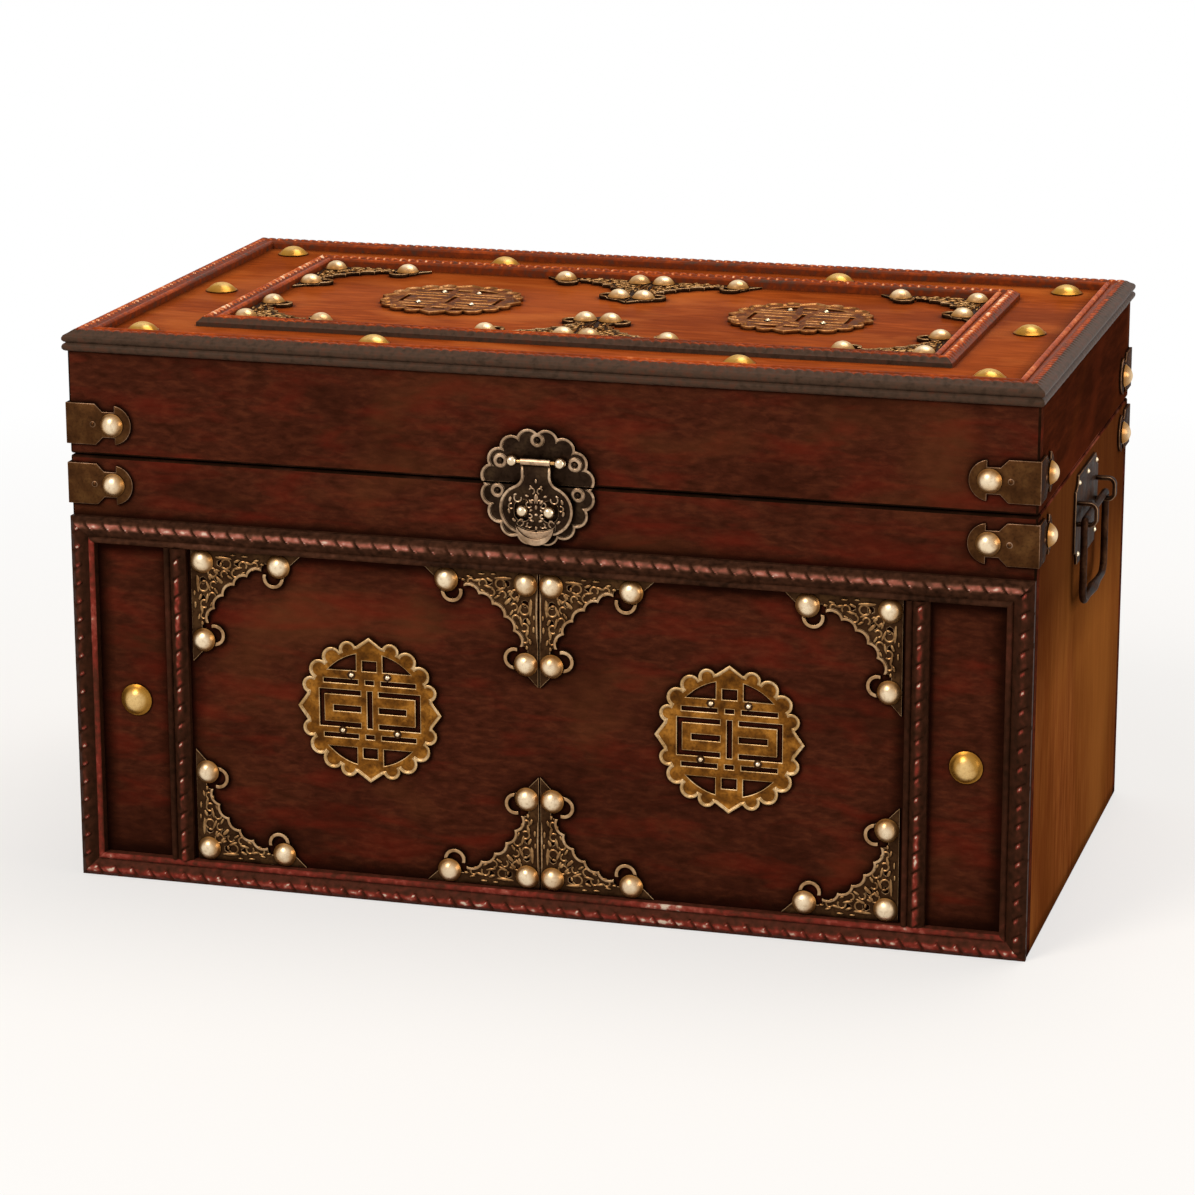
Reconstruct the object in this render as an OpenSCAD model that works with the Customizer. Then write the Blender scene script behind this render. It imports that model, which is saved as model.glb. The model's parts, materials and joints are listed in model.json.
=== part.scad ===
// Lacquered wooden keepsake box with a hinged lid, carved mouldings, stamped
// corner mounts, a drop hasp at the front and a drop handle on each side.
// Millimetres. +Z is up, the front faces -Y, and the origin lies under the
// middle of the box, on the plane that the box stands on.

/* [Box] */
// Width of the box across its boards
box_w = 350; // [320:5:400]
// Depth of the box across its boards
box_d = 196; // [180:2:240]
// Height of the base boards
base_h = 157.5; // [145:0.5:190]
// Height of the lid, from its lower edge to the face of its top panel
lid_h = 42; // [38:0.5:60]
// Gap between the base and the closed lid
seam = 0.5; // [0.3:0.1:1]
// Thickness of the side boards
board_t = 6; // [5.5:0.5:8]
// Thickness of the bottom panel and of the top panel
panel_t = 5; // [4.5:0.5:7]
// Thickness of the flocked card lining
lining_t = 1; // [0.8:0.1:1.5]

/* [Carved mouldings] */
// Width of the frame moulding on the front
mould_w = 9.2; // [8:0.1:11]
// Height of the mouldings at their plain edges
mould_low = 3; // [2.4:0.1:3.6]
// Height of the mouldings at the crest of the carved ridge
mould_high = 4.8; // [4.2:0.1:6]
// Radius of the bead along the inner edge
mould_bead_r = 1.1; // [0.8:0.1:1.4]
// Plain lip outside the carved ridge
mould_lip = 0.6; // [0.4:0.1:1]
// Width of the two upright strips on the front
strip_w = 8; // [7:0.1:9]
// Plain field between an outer stile and an upright strip
side_field_w = 26.6; // [22:0.2:32]
// Gap between the front frame and the round latch plate above it
frame_gap = 0.4; // [0.3:0.1:3]
// Distance from a box side to the frame on the lid
lid_frame_inset_x = 36.6; // [30:0.2:44]
// Distance from the box front to the frame on the lid
lid_frame_inset_y = 32.4; // [28:0.2:36]
// Width of the frame on the lid
lid_frame_w = 8; // [7:0.1:9]
// Height of the lid's frame at its plain edges
lid_frame_low = 2.2; // [1.8:0.1:3]
// Height of the lid's frame at its carved crest
lid_frame_high = 3.6; // [3.2:0.1:4.6]

/* [Lid edge moulding] */
// Width of the leg that lies on the top panel
edge_w = 9; // [8:0.1:11]
// Height of that leg at its plain edges
edge_low = 1.8; // [1.6:0.1:2.6]
// Height of that leg at its carved crest
edge_high = 3.1; // [2.8:0.1:4.4]
// How far the leg on the side stands proud of the boards
edge_proud = 1.5; // [1.3:0.1:2]
// How far the leg on the side reaches below the top panel's face
edge_drop = 4.6; // [4.4:0.1:5]
// Radius of the thin lower reed on that leg
reed_r = 1.5; // [1:0.1:1.5]

/* [Stamped corner mounts] */
// Thickness of the stamped plates
lace_t = 1; // [0.8:0.1:1.4]
// Length of the plate along each leg, up to the arm
lace_body = 27; // [25:0.5:29]
// Width of the plate where the arm starts
lace_foot = 6.6; // [6:0.2:8]
// Depth of the bow in the long side
lace_bow = 3.2; // [2.4:0.2:4]
// Number of scallops along the long side
lace_scallops = 5; // [4:1:6]
// Radius of one scallop
lace_scallop_r = 3.6; // [3:0.1:3.8]
// Depth of a scallop beyond the bow
lace_scallop_deep = 1.5; // [1.2:0.1:2.2]
// Width of the raised rim
rim_w = 0.9; // [0.6:0.1:1.2]
// Height of the raised rim above its plate
rim_h = 0.5; // [0.3:0.1:0.6]
// Width of the arm beyond the plate's body
arm_w = 3.8; // [3:0.1:4.4]
// Length of the pointed tail beyond the arm's nail
tail_l = 4; // [3:0.2:5]
// Outer radius of the curled hook beside the arm's nail
hook_r = 4; // [3.4:0.1:4.4]
// Size of one pierced eye in the plate
lace_eye_r = 1.3; // [1:0.1:1.5]
// Gap between a corner mount and its neighbour
lace_gap = 0.3; // [0.2:0.1:0.6]
// Gap between the front's corner mounts and the upright strips
front_side_gap = 1.4; // [0.3:0.1:3]
// Gap between the lid's corner mounts and the side rails
lid_side_gap = 0.6; // [0.3:0.1:3]
// Gap between the lid's corner mounts and the front and back rails
lid_corner_gap = 3.6; // [2:0.2:5]
// Gap between the lid's middle mounts and the front and back rails
lid_middle_gap = 1.6; // [1:0.2:4]

/* [Nails] */
// Diameter of the round nail heads
nail_d = 8.7; // [7:0.1:9]
// Height of the round nail heads
nail_h = 3.1; // [2.4:0.1:3.8]
// Distance from the edge of a mount to its nails
nail_in = 4.4; // [4.4:0.1:5.2]
// Spacing of the nails along a mount's leg
nail_pitch = 29; // [28:0.5:31]
// Diameter of the large dome nails
dome_d = 11.8; // [10:0.2:13]
// Height of the large dome nails
dome_h = 3.3; // [2.6:0.1:4]
// Diameter of the nail shanks
shank_d = 1.4; // [1:0.1:1.8]
// Depth that the shanks reach into the wood
shank_l = 4; // [3:0.5:4.2]
// Diameter of the small pins
pin_d = 1.9; // [1.6:0.1:2.2]
// Height of the small pins
pin_h = 0.8; // [0.6:0.1:1]
// Diameter of the small pins' shanks
pin_shank_d = 0.9; // [0.7:0.1:1.1]

/* [Medallions] */
// Radius of a medallion at its four points
med_r = 27; // [25:0.5:29]
// Thickness of a medallion
med_t = 1; // [0.8:0.1:1.4]
// Distance of the front medallions from the middle
med_front_x = 66; // [62:0.5:72]
// Height of the front medallions above the bottom
med_front_z = 71; // [62:0.5:80]
// Distance of the lid medallions from the middle
med_lid_x = 66.4; // [62:0.5:72]
// Distance of the lid medallions behind the middle
med_lid_y = 2; // [-4:0.5:4]
// Distance that each pair of medallions sits right of even places
med_shift = 3; // [-4:0.5:4]

/* [Corner straps] */
// Height of a strap
strap_w = 15; // [13:0.5:16]
// Straight length of each leg
strap_leg = 10.2; // [9:0.2:11]
// Chamfer at the end of the straight length
strap_chamfer = 2.8; // [2:0.2:3.4]
// Distance of a strap's nail from the corner
strap_nail = 16.6; // [16:0.2:18]
// Radius of the round end
strap_end_r = 7.2; // [6.8:0.1:7.4]
// How far past the nail's middle the crescent end starts
strap_horn = 1; // [0:0.2:2]
// Thickness of a strap
strap_t = 1; // [0.8:0.1:1.4]
// Middle of the lid straps above the lid's lower edge
lid_strap_up = 11.3; // [9:0.1:20]
// Middle of the base straps below the top of the base
base_strap_down = 10.1; // [8.5:0.1:13]

/* [Latch] */
// Radius of the round latch plate
latch_r = 21; // [20:0.1:22]
// Number of lobes round the plate
latch_lobes = 16; // [14:1:18]
// Radius of one lobe
latch_lobe_r = 4.4; // [4.2:0.1:5]
// Thickness of the latch plates
latch_t = 1.2; // [1:0.1:1.5]
// Middle of the latch plate below the seam
latch_drop = 0.9; // [0.5:0.1:2.4]
// Height of the hasp's axis above the lid's lower edge
hasp_axis_up = 8.3; // [7:0.1:10]
// Spacing of the two ball-ended posts of the hasp
hasp_post_gap = 17.4; // [16.6:0.2:19]
// Radius of the post balls
post_ball_r = 2; // [1.8:0.1:2.2]
// Radius of the hasp's rod
rod_r = 0.7; // [0.5:0.05:0.8]
// Outer radius of the hasp's rolled eye
hasp_eye_r = 1.3; // [1.2:0.05:1.5]
// Thickness of the hasp
hasp_t = 1.2; // [1:0.1:1.3]
// Width of the hasp's neck
hasp_neck_w = 10.6; // [9:0.2:11.4]
// Radius of each half of the hasp's bulb
hasp_bulb_r = 9; // [8.6:0.1:9.6]
// Half the spacing of the two halves of the bulb
hasp_bulb_x = 4.3; // [3.8:0.1:4.8]
// Middle of the bulb below the axis
hasp_bulb_drop = 17; // [16.6:0.1:18]
// Radius of the fillets between neck and bulb
hasp_fillet_r = 4; // [3:0.2:5]
// Radius of the finger lip
lip_r = 6.85; // [6:0.05:7.4]
// Middle of the finger lip below the axis
lip_drop = 22.5; // [21.5:0.1:23]
// Height of the finger lip above the hasp
lip_h = 2.2; // [1.6:0.1:2.6]
// Radius of the balls on the two studs
stud_ball_r = 2.1; // [1.8:0.1:2.3]
// Spacing of the two studs
stud_gap = 9.8; // [9.2:0.1:10.4]
// Middle of the studs below the hasp's axis
stud_drop = 17.5; // [17:0.1:18]
// Play between a stud and the sides of its hole
stud_play = 0.9; // [0.6:0.1:1.1]
// Play between the rod and the hasp's eye
rod_play = 0.08; // [0.05:0.01:0.1]

/* [Side handles] */
// Width of a handle plate
plate_w = 48; // [46:0.5:54]
// Height of a handle plate
plate_h = 32.5; // [30:0.5:36]
// Thickness of a handle plate
plate_t = 1; // [0.8:0.1:1.4]
// Middle of the plate below the top of the base
plate_down = 20; // [19:0.5:26]
// Radius of the cut at each plate corner
plate_cut_r = 5; // [4:0.2:6]
// Spacing of the two loops
loop_gap = 40.8; // [38:0.2:41.2]
// Width of a loop's band
loop_band = 3; // [2.4:0.1:3.2]
// How far a loop stands out from the plate
loop_out = 7.4; // [7:0.1:9]
// Height of a loop
loop_h = 9; // [8.4:0.1:10]
// Thickness of a loop's band
loop_t = 1.3; // [1:0.1:1.5]
// Middle of the loops above the middle of the plate
loop_up = 2.8; // [1:0.1:4]
// Radius of the bail's rod
bail_r = 1.3; // [1.1:0.05:1.5]
// Spacing of the bail's two arms
bail_w = 47; // [46.6:0.2:52]
// Drop from the bail's axis to its grip
bail_drop = 30; // [28:0.5:36]
// Radius of the bail's lower corners
bail_corner_r = 5; // [4:0.5:7]
// Radius of the swell in the middle of the grip
grip_r = 2; // [1.7:0.1:2.4]

/* [Hinges] */
// Distance of each hinge from the middle
hinge_x = 105; // [80:1:130]
// Length of a hinge along its axis
hinge_l = 26; // [22:1:32]
// Height of each leaf
leaf_h = 15; // [13:0.5:18]
// Thickness of a leaf
leaf_t = 1; // [0.8:0.1:1.3]
// Outer radius of the knuckles
knuckle_r = 2.3; // [2.1:0.05:2.6]
// Radius of the hinge pins
hinge_pin_r = 1.1; // [0.9:0.05:1.2]
// Play between a pin and its knuckles
hinge_play = 0.06; // [0.04:0.01:0.08]
// Diameter of the hinge screws' heads
screw_d = 4; // [3.4:0.1:4.4]

/* [Hidden] */
$fn = 48;

// Overrun of the cuts, and the clear space left between separate pieces
cut = 1;
gap = 0.3;

// Heights of the closed box
lid_z = base_h + seam;
top_z = lid_z + lid_h;
axis_z = base_h + seam / 2;

// Places on the front
latch_z = axis_z - latch_drop;
frame_top = latch_z - latch_r - frame_gap;
strip_out = box_w / 2 - mould_w - side_field_w;
strip_in = strip_out - strip_w;
field_low = mould_w;
field_high = frame_top - mould_w;
field_mid = (field_low + field_high) / 2;

// Half of the width that joins a strap's leg to its crescent end
strap_neck = nail_d / 2 + gap;

// Places on the lid
lid_frame_x = box_w / 2 - lid_frame_inset_x;
lid_frame_y = box_d / 2 - lid_frame_inset_y;
edge_span_w = box_w + 2 * edge_proud;
edge_span_d = box_d + 2 * edge_proud;

// Shape of the corner mounts
foot_chord = (lace_body - lace_foot) * sqrt(2);
bow_r = (pow(foot_chord / 2, 2) + pow(lace_bow, 2)) / (2 * lace_bow);
bow_mid = (lace_body + lace_foot) / sqrt(2) - lace_bow + bow_r;
bow_angle = 2 * asin(foot_chord / 2 / bow_r);
arm_nail = nail_in + nail_pitch;
hook_band = rim_w + gap;
// The hook's ring meets the round end of the arm, and is open towards the corner
hook_up = 2 * nail_in - gap;
hook_open_share = 0.25;
// Places of the pierced eyes, as shares of the plate's body
lace_eye_shares = [[0.42, 0.17], [0.17, 0.42], [0.38, 0.38], [0.66, 0.15], [0.15, 0.66]];

// Shape of the medallions, as shares of their radius
med_disc_share = 0.89;
med_tip_base_share = 0.7;
med_tip_angle = 54;
med_bump_share = 0.12;
med_bump_place_share = 0.865;
med_bump_angles = [20, 70];
med_lobe_share = 0.14;
med_lobe_place_share = 0.865;
med_lobe_angles = [36.5, 53.5];
// Openings of one quarter of the fretwork: left, low, width and height
med_window_shares = [
    [0, 0.53, 0.1, 0.14],
    [0, 0.345, 0.06, 0.06],
    [0.16, 0.345, 0.48, 0.06],
    [0.125, 0.19, 0.51, 0.065],
    [0.635, 0, 0.065, 0.255],
    [0.125, 0, 0.38, 0.04],
    [0, 0, 0.035, 0.255]
];
med_quarter_shares = [0.185, 0.53, 0.46, 0.3];
med_quarter_r_share = 0.78;
// Places of a medallion's pins
med_pin_shares = [[0.25, 0.467], [0.38, -0.3]];

// Latch and hasp
latch_lobe_place = latch_r - latch_lobe_r;
latch_rosette_r = pin_d + rim_h;
hasp_z = lid_z + hasp_axis_up;
hasp_back = latch_t + rim_h + gap;
hasp_out = hasp_back + hasp_eye_r;
fillet_x = hasp_neck_w / 2 + hasp_fillet_r;
fillet_dx = fillet_x - hasp_bulb_x;
fillet_up = sqrt(pow(hasp_bulb_r + hasp_fillet_r, 2) - pow(fillet_dx, 2));
stud_out = hasp_back + hasp_t + rim_h + gap;
// Circle that hollows the lip and circle that ends its low floor, as shares of the lip's radius
lip_cut_share = 1.08;
lip_shift_share = 0.408;
lip_floor_cut_share = 2;
lip_floor_shift_share = 1.68;
lip_floor_share = 0.5;
stem_share = 0.62;
// Places of the latch pins from the plate's middle, as shares of its radius
latch_upper_pin_shares = [[0, 0.8], [-0.64, 0.42], [0.64, 0.42]];
latch_lower_pin_shares = [[-0.69, -0.09], [0.69, -0.09]];

// Side handles
plate_z = base_h - plate_down;
loop_z = plate_z + loop_up;
loop_round_share = 0.4;
bail_out = plate_t + (loop_out - loop_t) / 2;
bail_z = loop_z - loop_h / 2 + loop_t + bail_r + gap / 2;
bail_top_r = (bail_w - loop_gap - loop_band) / 2;
grip_share = 0.6;
// Places of the plate's pins, as shares of half its width and height
plate_pin_shares = [[-0.78, 0.84], [0, 0.84], [0.78, 0.84], [-0.78, -0.76], [0.78, -0.76]];

// Hinges
hinge_y = box_d / 2 + knuckle_r + gap;
knuckle_l = (hinge_l - 2 * gap) / 3;
screw_x = hinge_l / 2 - screw_d;
screw_h_share = 0.25;
screw_shank_share = 0.4;
leaf_mid = (knuckle_r + gap + leaf_h) / 2;

// Positions of the nails and mounts
dome_side_x = strip_out + side_field_w / 2;
dome_lid_x = box_w / 2 - (edge_w + lid_frame_inset_x) / 2 + edge_proud;
dome_lid_y = box_d / 2 - (edge_w + lid_frame_inset_y) / 2 + edge_proud;

module on_front() { translate([0, -box_d / 2, 0]) rotate([90, 0, 0]) children(); }
module on_back() { translate([0, box_d / 2, 0]) rotate([90, 0, 180]) children(); }
module on_right() { translate([box_w / 2, 0, 0]) rotate([90, 0, 90]) children(); }
module on_left() { mirror([1, 0, 0]) on_right() children(); }
module on_lid() { translate([0, 0, top_z]) children(); }

// Both halves of what is alike to the left and to the right of the middle
module pair_x() { children(); mirror([1, 0, 0]) children(); }
module pair_y() { children(); mirror([0, 1, 0]) children(); }
module four_corners() { pair_x() pair_y() children(); }

module block(low, high) { translate(low) cube(high - low); }

// Nails, with their heads on the plane z = 0
module cap(d, h) {
    r = (pow(d / 2, 2) + pow(h, 2)) / (2 * h);
    intersection() {
        translate([0, 0, h - r]) sphere(r);
        cylinder(d = d + cut, h = h + cut);
    }
}
module nail(d, h, shank, depth) {
    cap(d, h);
    translate([0, 0, -depth]) cylinder(d = shank, h = depth);
}
module round_nail(lift) { translate([0, 0, lift]) nail(nail_d, nail_h, shank_d, shank_l + lift); }
module dome_nail() { nail(dome_d, dome_h, shank_d, shank_l); }
module small_pin(lift) { translate([0, 0, lift]) nail(pin_d, pin_h, pin_shank_d, shank_l + lift); }
module nail_hole(d) { circle(d = d + gap, $fn = 8); }

// Mouldings, laid along X with the outer edge on y = 0
module ridge(start, end, low, high) {
    rise = high - low;
    r = (pow((end - start) / 2, 2) + pow(rise, 2)) / (2 * rise);
    intersection() {
        translate([(start + end) / 2, high - r]) circle(r);
        translate([start, 0]) square([end - start, high]);
    }
}
module carved_profile(w, low, high) {
    square([w, low]);
    translate([w - mould_bead_r, low]) circle(mould_bead_r);
    ridge(mould_lip, w - 2 * mould_bead_r, low, high);
}
module edge_profile() {
    w = edge_proud + edge_w;
    intersection() {
        union() {
            square([w, edge_low]);
            translate([w - mould_bead_r, edge_low]) circle(mould_bead_r);
            ridge(edge_proud, w - 2 * mould_bead_r, edge_low, edge_high);
            translate([edge_proud, 0]) circle(edge_proud);
            translate([edge_proud - gap, -edge_drop]) square([gap, edge_drop]);
            translate([edge_proud, reed_r - edge_drop]) circle(reed_r);
        }
        union() {
            square([w, edge_high + cut]);
            translate([0, -edge_drop]) square([edge_proud, edge_drop]);
        }
    }
}
module run(length) { rotate([90, 0, 90]) linear_extrude(length) children(); }
module mitred(length, w, low, high) {
    intersection() {
        run(length) children();
        translate([0, 0, -low]) linear_extrude(low + high)
            polygon([[0, 0], [length, 0], [length - w, w], [w, w]]);
    }
}

// Four rails round a rectangle that is centred on the origin
module rail_front(w, d) { translate([-w / 2, -d / 2, 0]) children(); }
module rail_back(w, d) { rotate([0, 0, 180]) rail_front(w, d) children(); }
module rail_left(w, d) { rotate([0, 0, -90]) rail_front(d, w) children(); }
module rail_right(w, d) { rotate([0, 0, 90]) rail_front(d, w) children(); }

// Stamped corner mount, with its corner on the origin and its legs along +X and +Y
module lace_bites(more) {
    step = bow_angle / lace_scallops;
    translate([bow_mid / sqrt(2), bow_mid / sqrt(2)]) {
        circle(bow_r + more);
        for (i = [0 : lace_scallops - 1]) rotate(225 + (i + 0.5) * step - bow_angle / 2)
            translate([bow_r + lace_scallop_deep - lace_scallop_r, 0]) circle(lace_scallop_r + more);
    }
}
module lace_body_outline() {
    polygon([[0, 0], [lace_body, 0], [lace_body, lace_foot], [lace_foot, lace_body], [0, lace_body]]);
}
module lace_arm() {
    square([arm_nail, arm_w]);
    polygon([
        [arm_nail, 0],
        [arm_nail + nail_d / 2 + tail_l, 0],
        [arm_nail + nail_d / 2, arm_w],
        [arm_nail, arm_w]
    ]);
    translate([arm_nail, nail_in]) circle(nail_in - gap);
}
module lace_hook() {
    translate([arm_nail - hook_r / 2, hook_up]) difference() {
        circle(hook_r);
        circle(hook_r - hook_band);
        translate([-hook_r, -hook_r * (1 + hook_open_share)]) square([2 * hook_r, hook_r]);
    }
}
module lace_nail_holes() {
    translate([nail_in, nail_in]) nail_hole(shank_d);
    for (a = [0, 1]) mirror([a, -a]) translate([arm_nail, nail_in]) nail_hole(shank_d);
}
module lace_mount() {
    linear_extrude(lace_t) difference() {
        union() {
            difference() {
                lace_body_outline();
                lace_bites(0);
            }
            for (a = [0, 1]) mirror([a, -a]) {
                lace_arm();
                lace_hook();
            }
        }
        for (p = lace_eye_shares) translate(lace_body * p) rotate(30) circle(lace_eye_r, $fn = 6);
        lace_nail_holes();
    }
    translate([0, 0, lace_t]) linear_extrude(rim_h) {
        intersection() {
            difference() {
                lace_body_outline();
                lace_bites(0);
            }
            lace_bites(rim_w);
        }
        for (a = [0, 1]) mirror([a, -a]) difference() {
            lace_hook();
            translate([arm_nail, nail_in]) circle(nail_d / 2 + gap);
        }
    }
}
module lace_nails() {
    translate([nail_in, nail_in]) round_nail(lace_t);
    for (a = [0, 1]) mirror([a, -a, 0]) translate([arm_nail, nail_in]) round_nail(lace_t);
}

// Places of the corner mounts: four in the corners of a field and four in its middle
module mount_places(x, y, side_gap, corner_gap, middle_gap) {
    four_corners() {
        translate([x - side_gap, y - corner_gap]) rotate(180) children();
        translate([lace_gap, y - middle_gap]) mirror([0, 1]) children();
    }
}
module front_mount_places() {
    translate([0, field_mid])
        mount_places(strip_in, field_mid - field_low, front_side_gap, lace_gap, lace_gap) children();
}
module lid_mount_places() {
    x = lid_frame_x - lid_frame_w;
    y = lid_frame_y - lid_frame_w;
    mount_places(x, y, lid_side_gap, lid_corner_gap, lid_middle_gap) children();
}

// Medallion, centred on the origin
module med_outline(inset) {
    circle(med_r * med_disc_share - inset);
    for (q = [0 : 3]) rotate(90 * q) {
        tip = med_r - inset / sin(med_tip_angle);
        base = med_r * med_tip_base_share;
        half = (tip - base) * tan(med_tip_angle);
        polygon([[tip, 0], [base, half], [base, -half]]);
        for (a = med_bump_angles) rotate(a) translate([med_r * med_bump_place_share, 0])
            circle(med_r * med_bump_share - inset);
        for (a = med_lobe_angles) rotate(a) translate([med_r * med_lobe_place_share, 0])
            circle(med_r * med_lobe_share - inset);
    }
}
module med_windows() {
    four_corners() {
        for (p = med_window_shares) translate(med_r * [p[0], p[1]]) square(med_r * [p[2], p[3]]);
        intersection() {
            translate(med_r * [med_quarter_shares[0], med_quarter_shares[1]])
                square(med_r * [med_quarter_shares[2], med_quarter_shares[3]]);
            circle(med_r * med_quarter_r_share);
        }
    }
}
module medallion() {
    linear_extrude(med_t) difference() {
        med_outline(0);
        med_windows();
        pair_x() for (p = med_pin_shares) translate(med_r * p) nail_hole(pin_shank_d);
    }
    translate([0, 0, med_t]) linear_extrude(rim_h) difference() {
        med_outline(0);
        med_outline(rim_w);
    }
}
module med_pins() { pair_x() for (p = med_pin_shares) translate(med_r * p) small_pin(med_t); }
module med_places(x, y) { translate([med_shift, 0]) pair_x() translate([x, y]) children(); }
module front_med_places() { med_places(med_front_x, med_front_z) children(); }
module lid_med_places() { med_places(med_lid_x, med_lid_y) children(); }

// Corner strap: one leg along +X from the corner on the origin, middle on y = 0
module strap_leg_outline() {
    square_end = strap_leg + strap_chamfer;
    half = strap_w / 2;
    difference() {
        union() {
            polygon([
                [0, -half], [strap_leg, -half], [square_end, strap_chamfer - half],
                [square_end, half - strap_chamfer], [strap_leg, half], [0, half]
            ]);
            translate([0, -strap_neck]) square([strap_nail + strap_horn, 2 * strap_neck]);
            translate([strap_nail, 0]) intersection() {
                circle(strap_end_r);
                translate([strap_horn, -strap_end_r]) square([strap_end_r, 2 * strap_end_r]);
            }
        }
        translate([strap_nail, 0]) nail_hole(shank_d);
    }
}
module strap_leg_solid() {
    linear_extrude(strap_t) strap_leg_outline();
    translate([strap_leg - rim_w, 0, strap_t]) cap(2 * rim_w, rim_h);
}
module corner_strap(z) {
    pair_x() pair_y() {
        translate([-box_w / 2, -box_d / 2, z]) rotate([90, 0, 0]) strap_leg_solid();
        translate([-box_w / 2, -box_d / 2, z]) rotate([90, 0, 90]) mirror([0, 0, 1]) strap_leg_solid();
        block(
            [-box_w / 2 - strap_t, -box_d / 2 - strap_t, z - strap_w / 2],
            [-box_w / 2, -box_d / 2, z + strap_w / 2]
        );
    }
}
module strap_nails(z) {
    pair_y() pair_x() translate([-box_w / 2, -box_d / 2, z]) {
        rotate([90, 0, 0]) translate([strap_nail, 0, 0]) round_nail(strap_t);
        rotate([90, 0, 90]) mirror([0, 0, 1]) translate([strap_nail, 0, 0]) round_nail(strap_t);
    }
}

// Latch plate, centred on the origin
module latch_outline(inset) {
    circle(latch_lobe_place);
    for (i = [0 : latch_lobes - 1]) rotate((i + 0.5) * 360 / latch_lobes)
        translate([latch_lobe_place, 0]) circle(latch_lobe_r - inset);
}
module latch_plate(low, high, pins) {
    difference() {
        union() {
            linear_extrude(latch_t) intersection() {
                latch_outline(0);
                translate([-latch_r, low]) square([2 * latch_r, high - low]);
            }
            translate([0, 0, latch_t]) linear_extrude(rim_h) intersection() {
                union() {
                    difference() {
                        latch_outline(0);
                        latch_outline(rim_w);
                    }
                    for (p = pins) translate(latch_r * p) circle(latch_rosette_r);
                }
                translate([-latch_r, low]) square([2 * latch_r, high - low]);
            }
        }
        for (p = pins) translate(concat(latch_r * p, latch_t))
            cylinder(r = pin_d / 2 + gap, h = rim_h + cut);
        for (p = pins) translate(concat(latch_r * p, -cut)) linear_extrude(latch_t + 2 * cut)
            nail_hole(pin_shank_d);
    }
}
module latch_pins(pins) {
    on_front() translate([0, latch_z]) for (p = pins) translate(latch_r * p) small_pin(latch_t);
}

// Hasp, with its axis on the origin and its back on the plane z = -hasp_eye_r
module hasp_outline(inset) {
    translate([inset - hasp_neck_w / 2, -hasp_bulb_drop]) square([hasp_neck_w - 2 * inset, hasp_bulb_drop]);
    difference() {
        pair_x() polygon([
            [0, -hasp_bulb_drop],
            [hasp_bulb_x, -hasp_bulb_drop],
            [fillet_x, fillet_up - hasp_bulb_drop],
            [0, fillet_up - hasp_bulb_drop]
        ]);
        pair_x() translate([fillet_x, fillet_up - hasp_bulb_drop]) circle(hasp_fillet_r + inset);
    }
    pair_x() translate([hasp_bulb_x, -hasp_bulb_drop]) circle(hasp_bulb_r - inset);
    translate([0, -lip_drop]) circle(lip_r - inset);
}
module hasp_holes(more) {
    r = stud_ball_r + stud_play + more;
    pair_x() translate([stud_gap / 2, -stud_drop]) {
        for (s = [-1, 1]) translate([0, s * stud_play]) circle(r);
        square([2 * r, 2 * stud_play], center = true);
    }
}
module lip_outline(cut_share, shift_share) {
    difference() {
        circle(lip_r);
        translate([0, lip_r * shift_share]) circle(lip_r * cut_share);
    }
}
module hasp_body() {
    difference() {
        union() {
            translate([0, 0, -hasp_eye_r]) linear_extrude(hasp_t) difference() {
                hasp_outline(0);
                hasp_holes(0);
            }
            translate([0, 0, hasp_t - hasp_eye_r]) linear_extrude(rim_h) difference() {
                hasp_outline(0);
                hasp_outline(rim_w);
                hasp_holes(0);
                translate([-hasp_neck_w, -hasp_eye_r]) square([2 * hasp_neck_w, hasp_eye_r]);
            }
            translate([0, -lip_drop, hasp_t - hasp_eye_r]) {
                linear_extrude(lip_h) lip_outline(lip_cut_share, lip_shift_share);
                linear_extrude(lip_h * lip_floor_share) lip_outline(lip_floor_cut_share, lip_floor_shift_share);
            }
            translate([-hasp_neck_w / 2, 0, 0]) rotate([0, 90, 0]) cylinder(r = hasp_eye_r, h = hasp_neck_w);
        }
        translate([-hasp_neck_w, 0, 0]) rotate([0, 90, 0])
            cylinder(r = rod_r + rod_play, h = 2 * hasp_neck_w);
    }
}

// Handle plate, loops and bail, with the plate's middle on the height plate_z
module plate_outline(inset) {
    difference() {
        square([plate_w - 2 * inset, plate_h - 2 * inset], center = true);
        four_corners() translate([plate_w / 2, plate_h / 2]) circle(plate_cut_r + inset);
    }
}
module handle_plate() {
    translate([0, plate_z]) {
        linear_extrude(plate_t) difference() {
            plate_outline(0);
            for (p = plate_pin_shares) translate([p[0] * plate_w / 2, p[1] * plate_h / 2])
                nail_hole(pin_shank_d);
        }
    }
}
module loop_outline(inset) {
    r = loop_out * loop_round_share - inset;
    w = loop_out - inset;
    half = loop_h / 2 - inset;
    translate([0, -half]) square([w - r, 2 * half]);
    translate([0, r - half]) square([w, 2 * (half - r)]);
    for (s = [-1, 1]) translate([w - r, s * (half - r)]) circle(r);
}
module handle_loops() {
    for (s = [-1, 1]) translate([(s * loop_gap + loop_band) / 2, loop_z, plate_t]) rotate([0, -90, 0])
        linear_extrude(loop_band) difference() {
            loop_outline(0);
            loop_outline(loop_t);
            translate([-cut, loop_t - loop_h / 2]) square([2 * cut, loop_h - 2 * loop_t]);
        }
}
module rod_x(length, r) { rotate([0, 90, 0]) cylinder(h = length, r = r, center = true); }
module rod_y(low, high, r) { translate([0, low, 0]) rotate([-90, 0, 0]) cylinder(h = high - low, r = r); }
module bail_corner(turn_r) {
    rotate_extrude(angle = 90) translate([turn_r, 0]) circle(bail_r);
}
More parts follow.
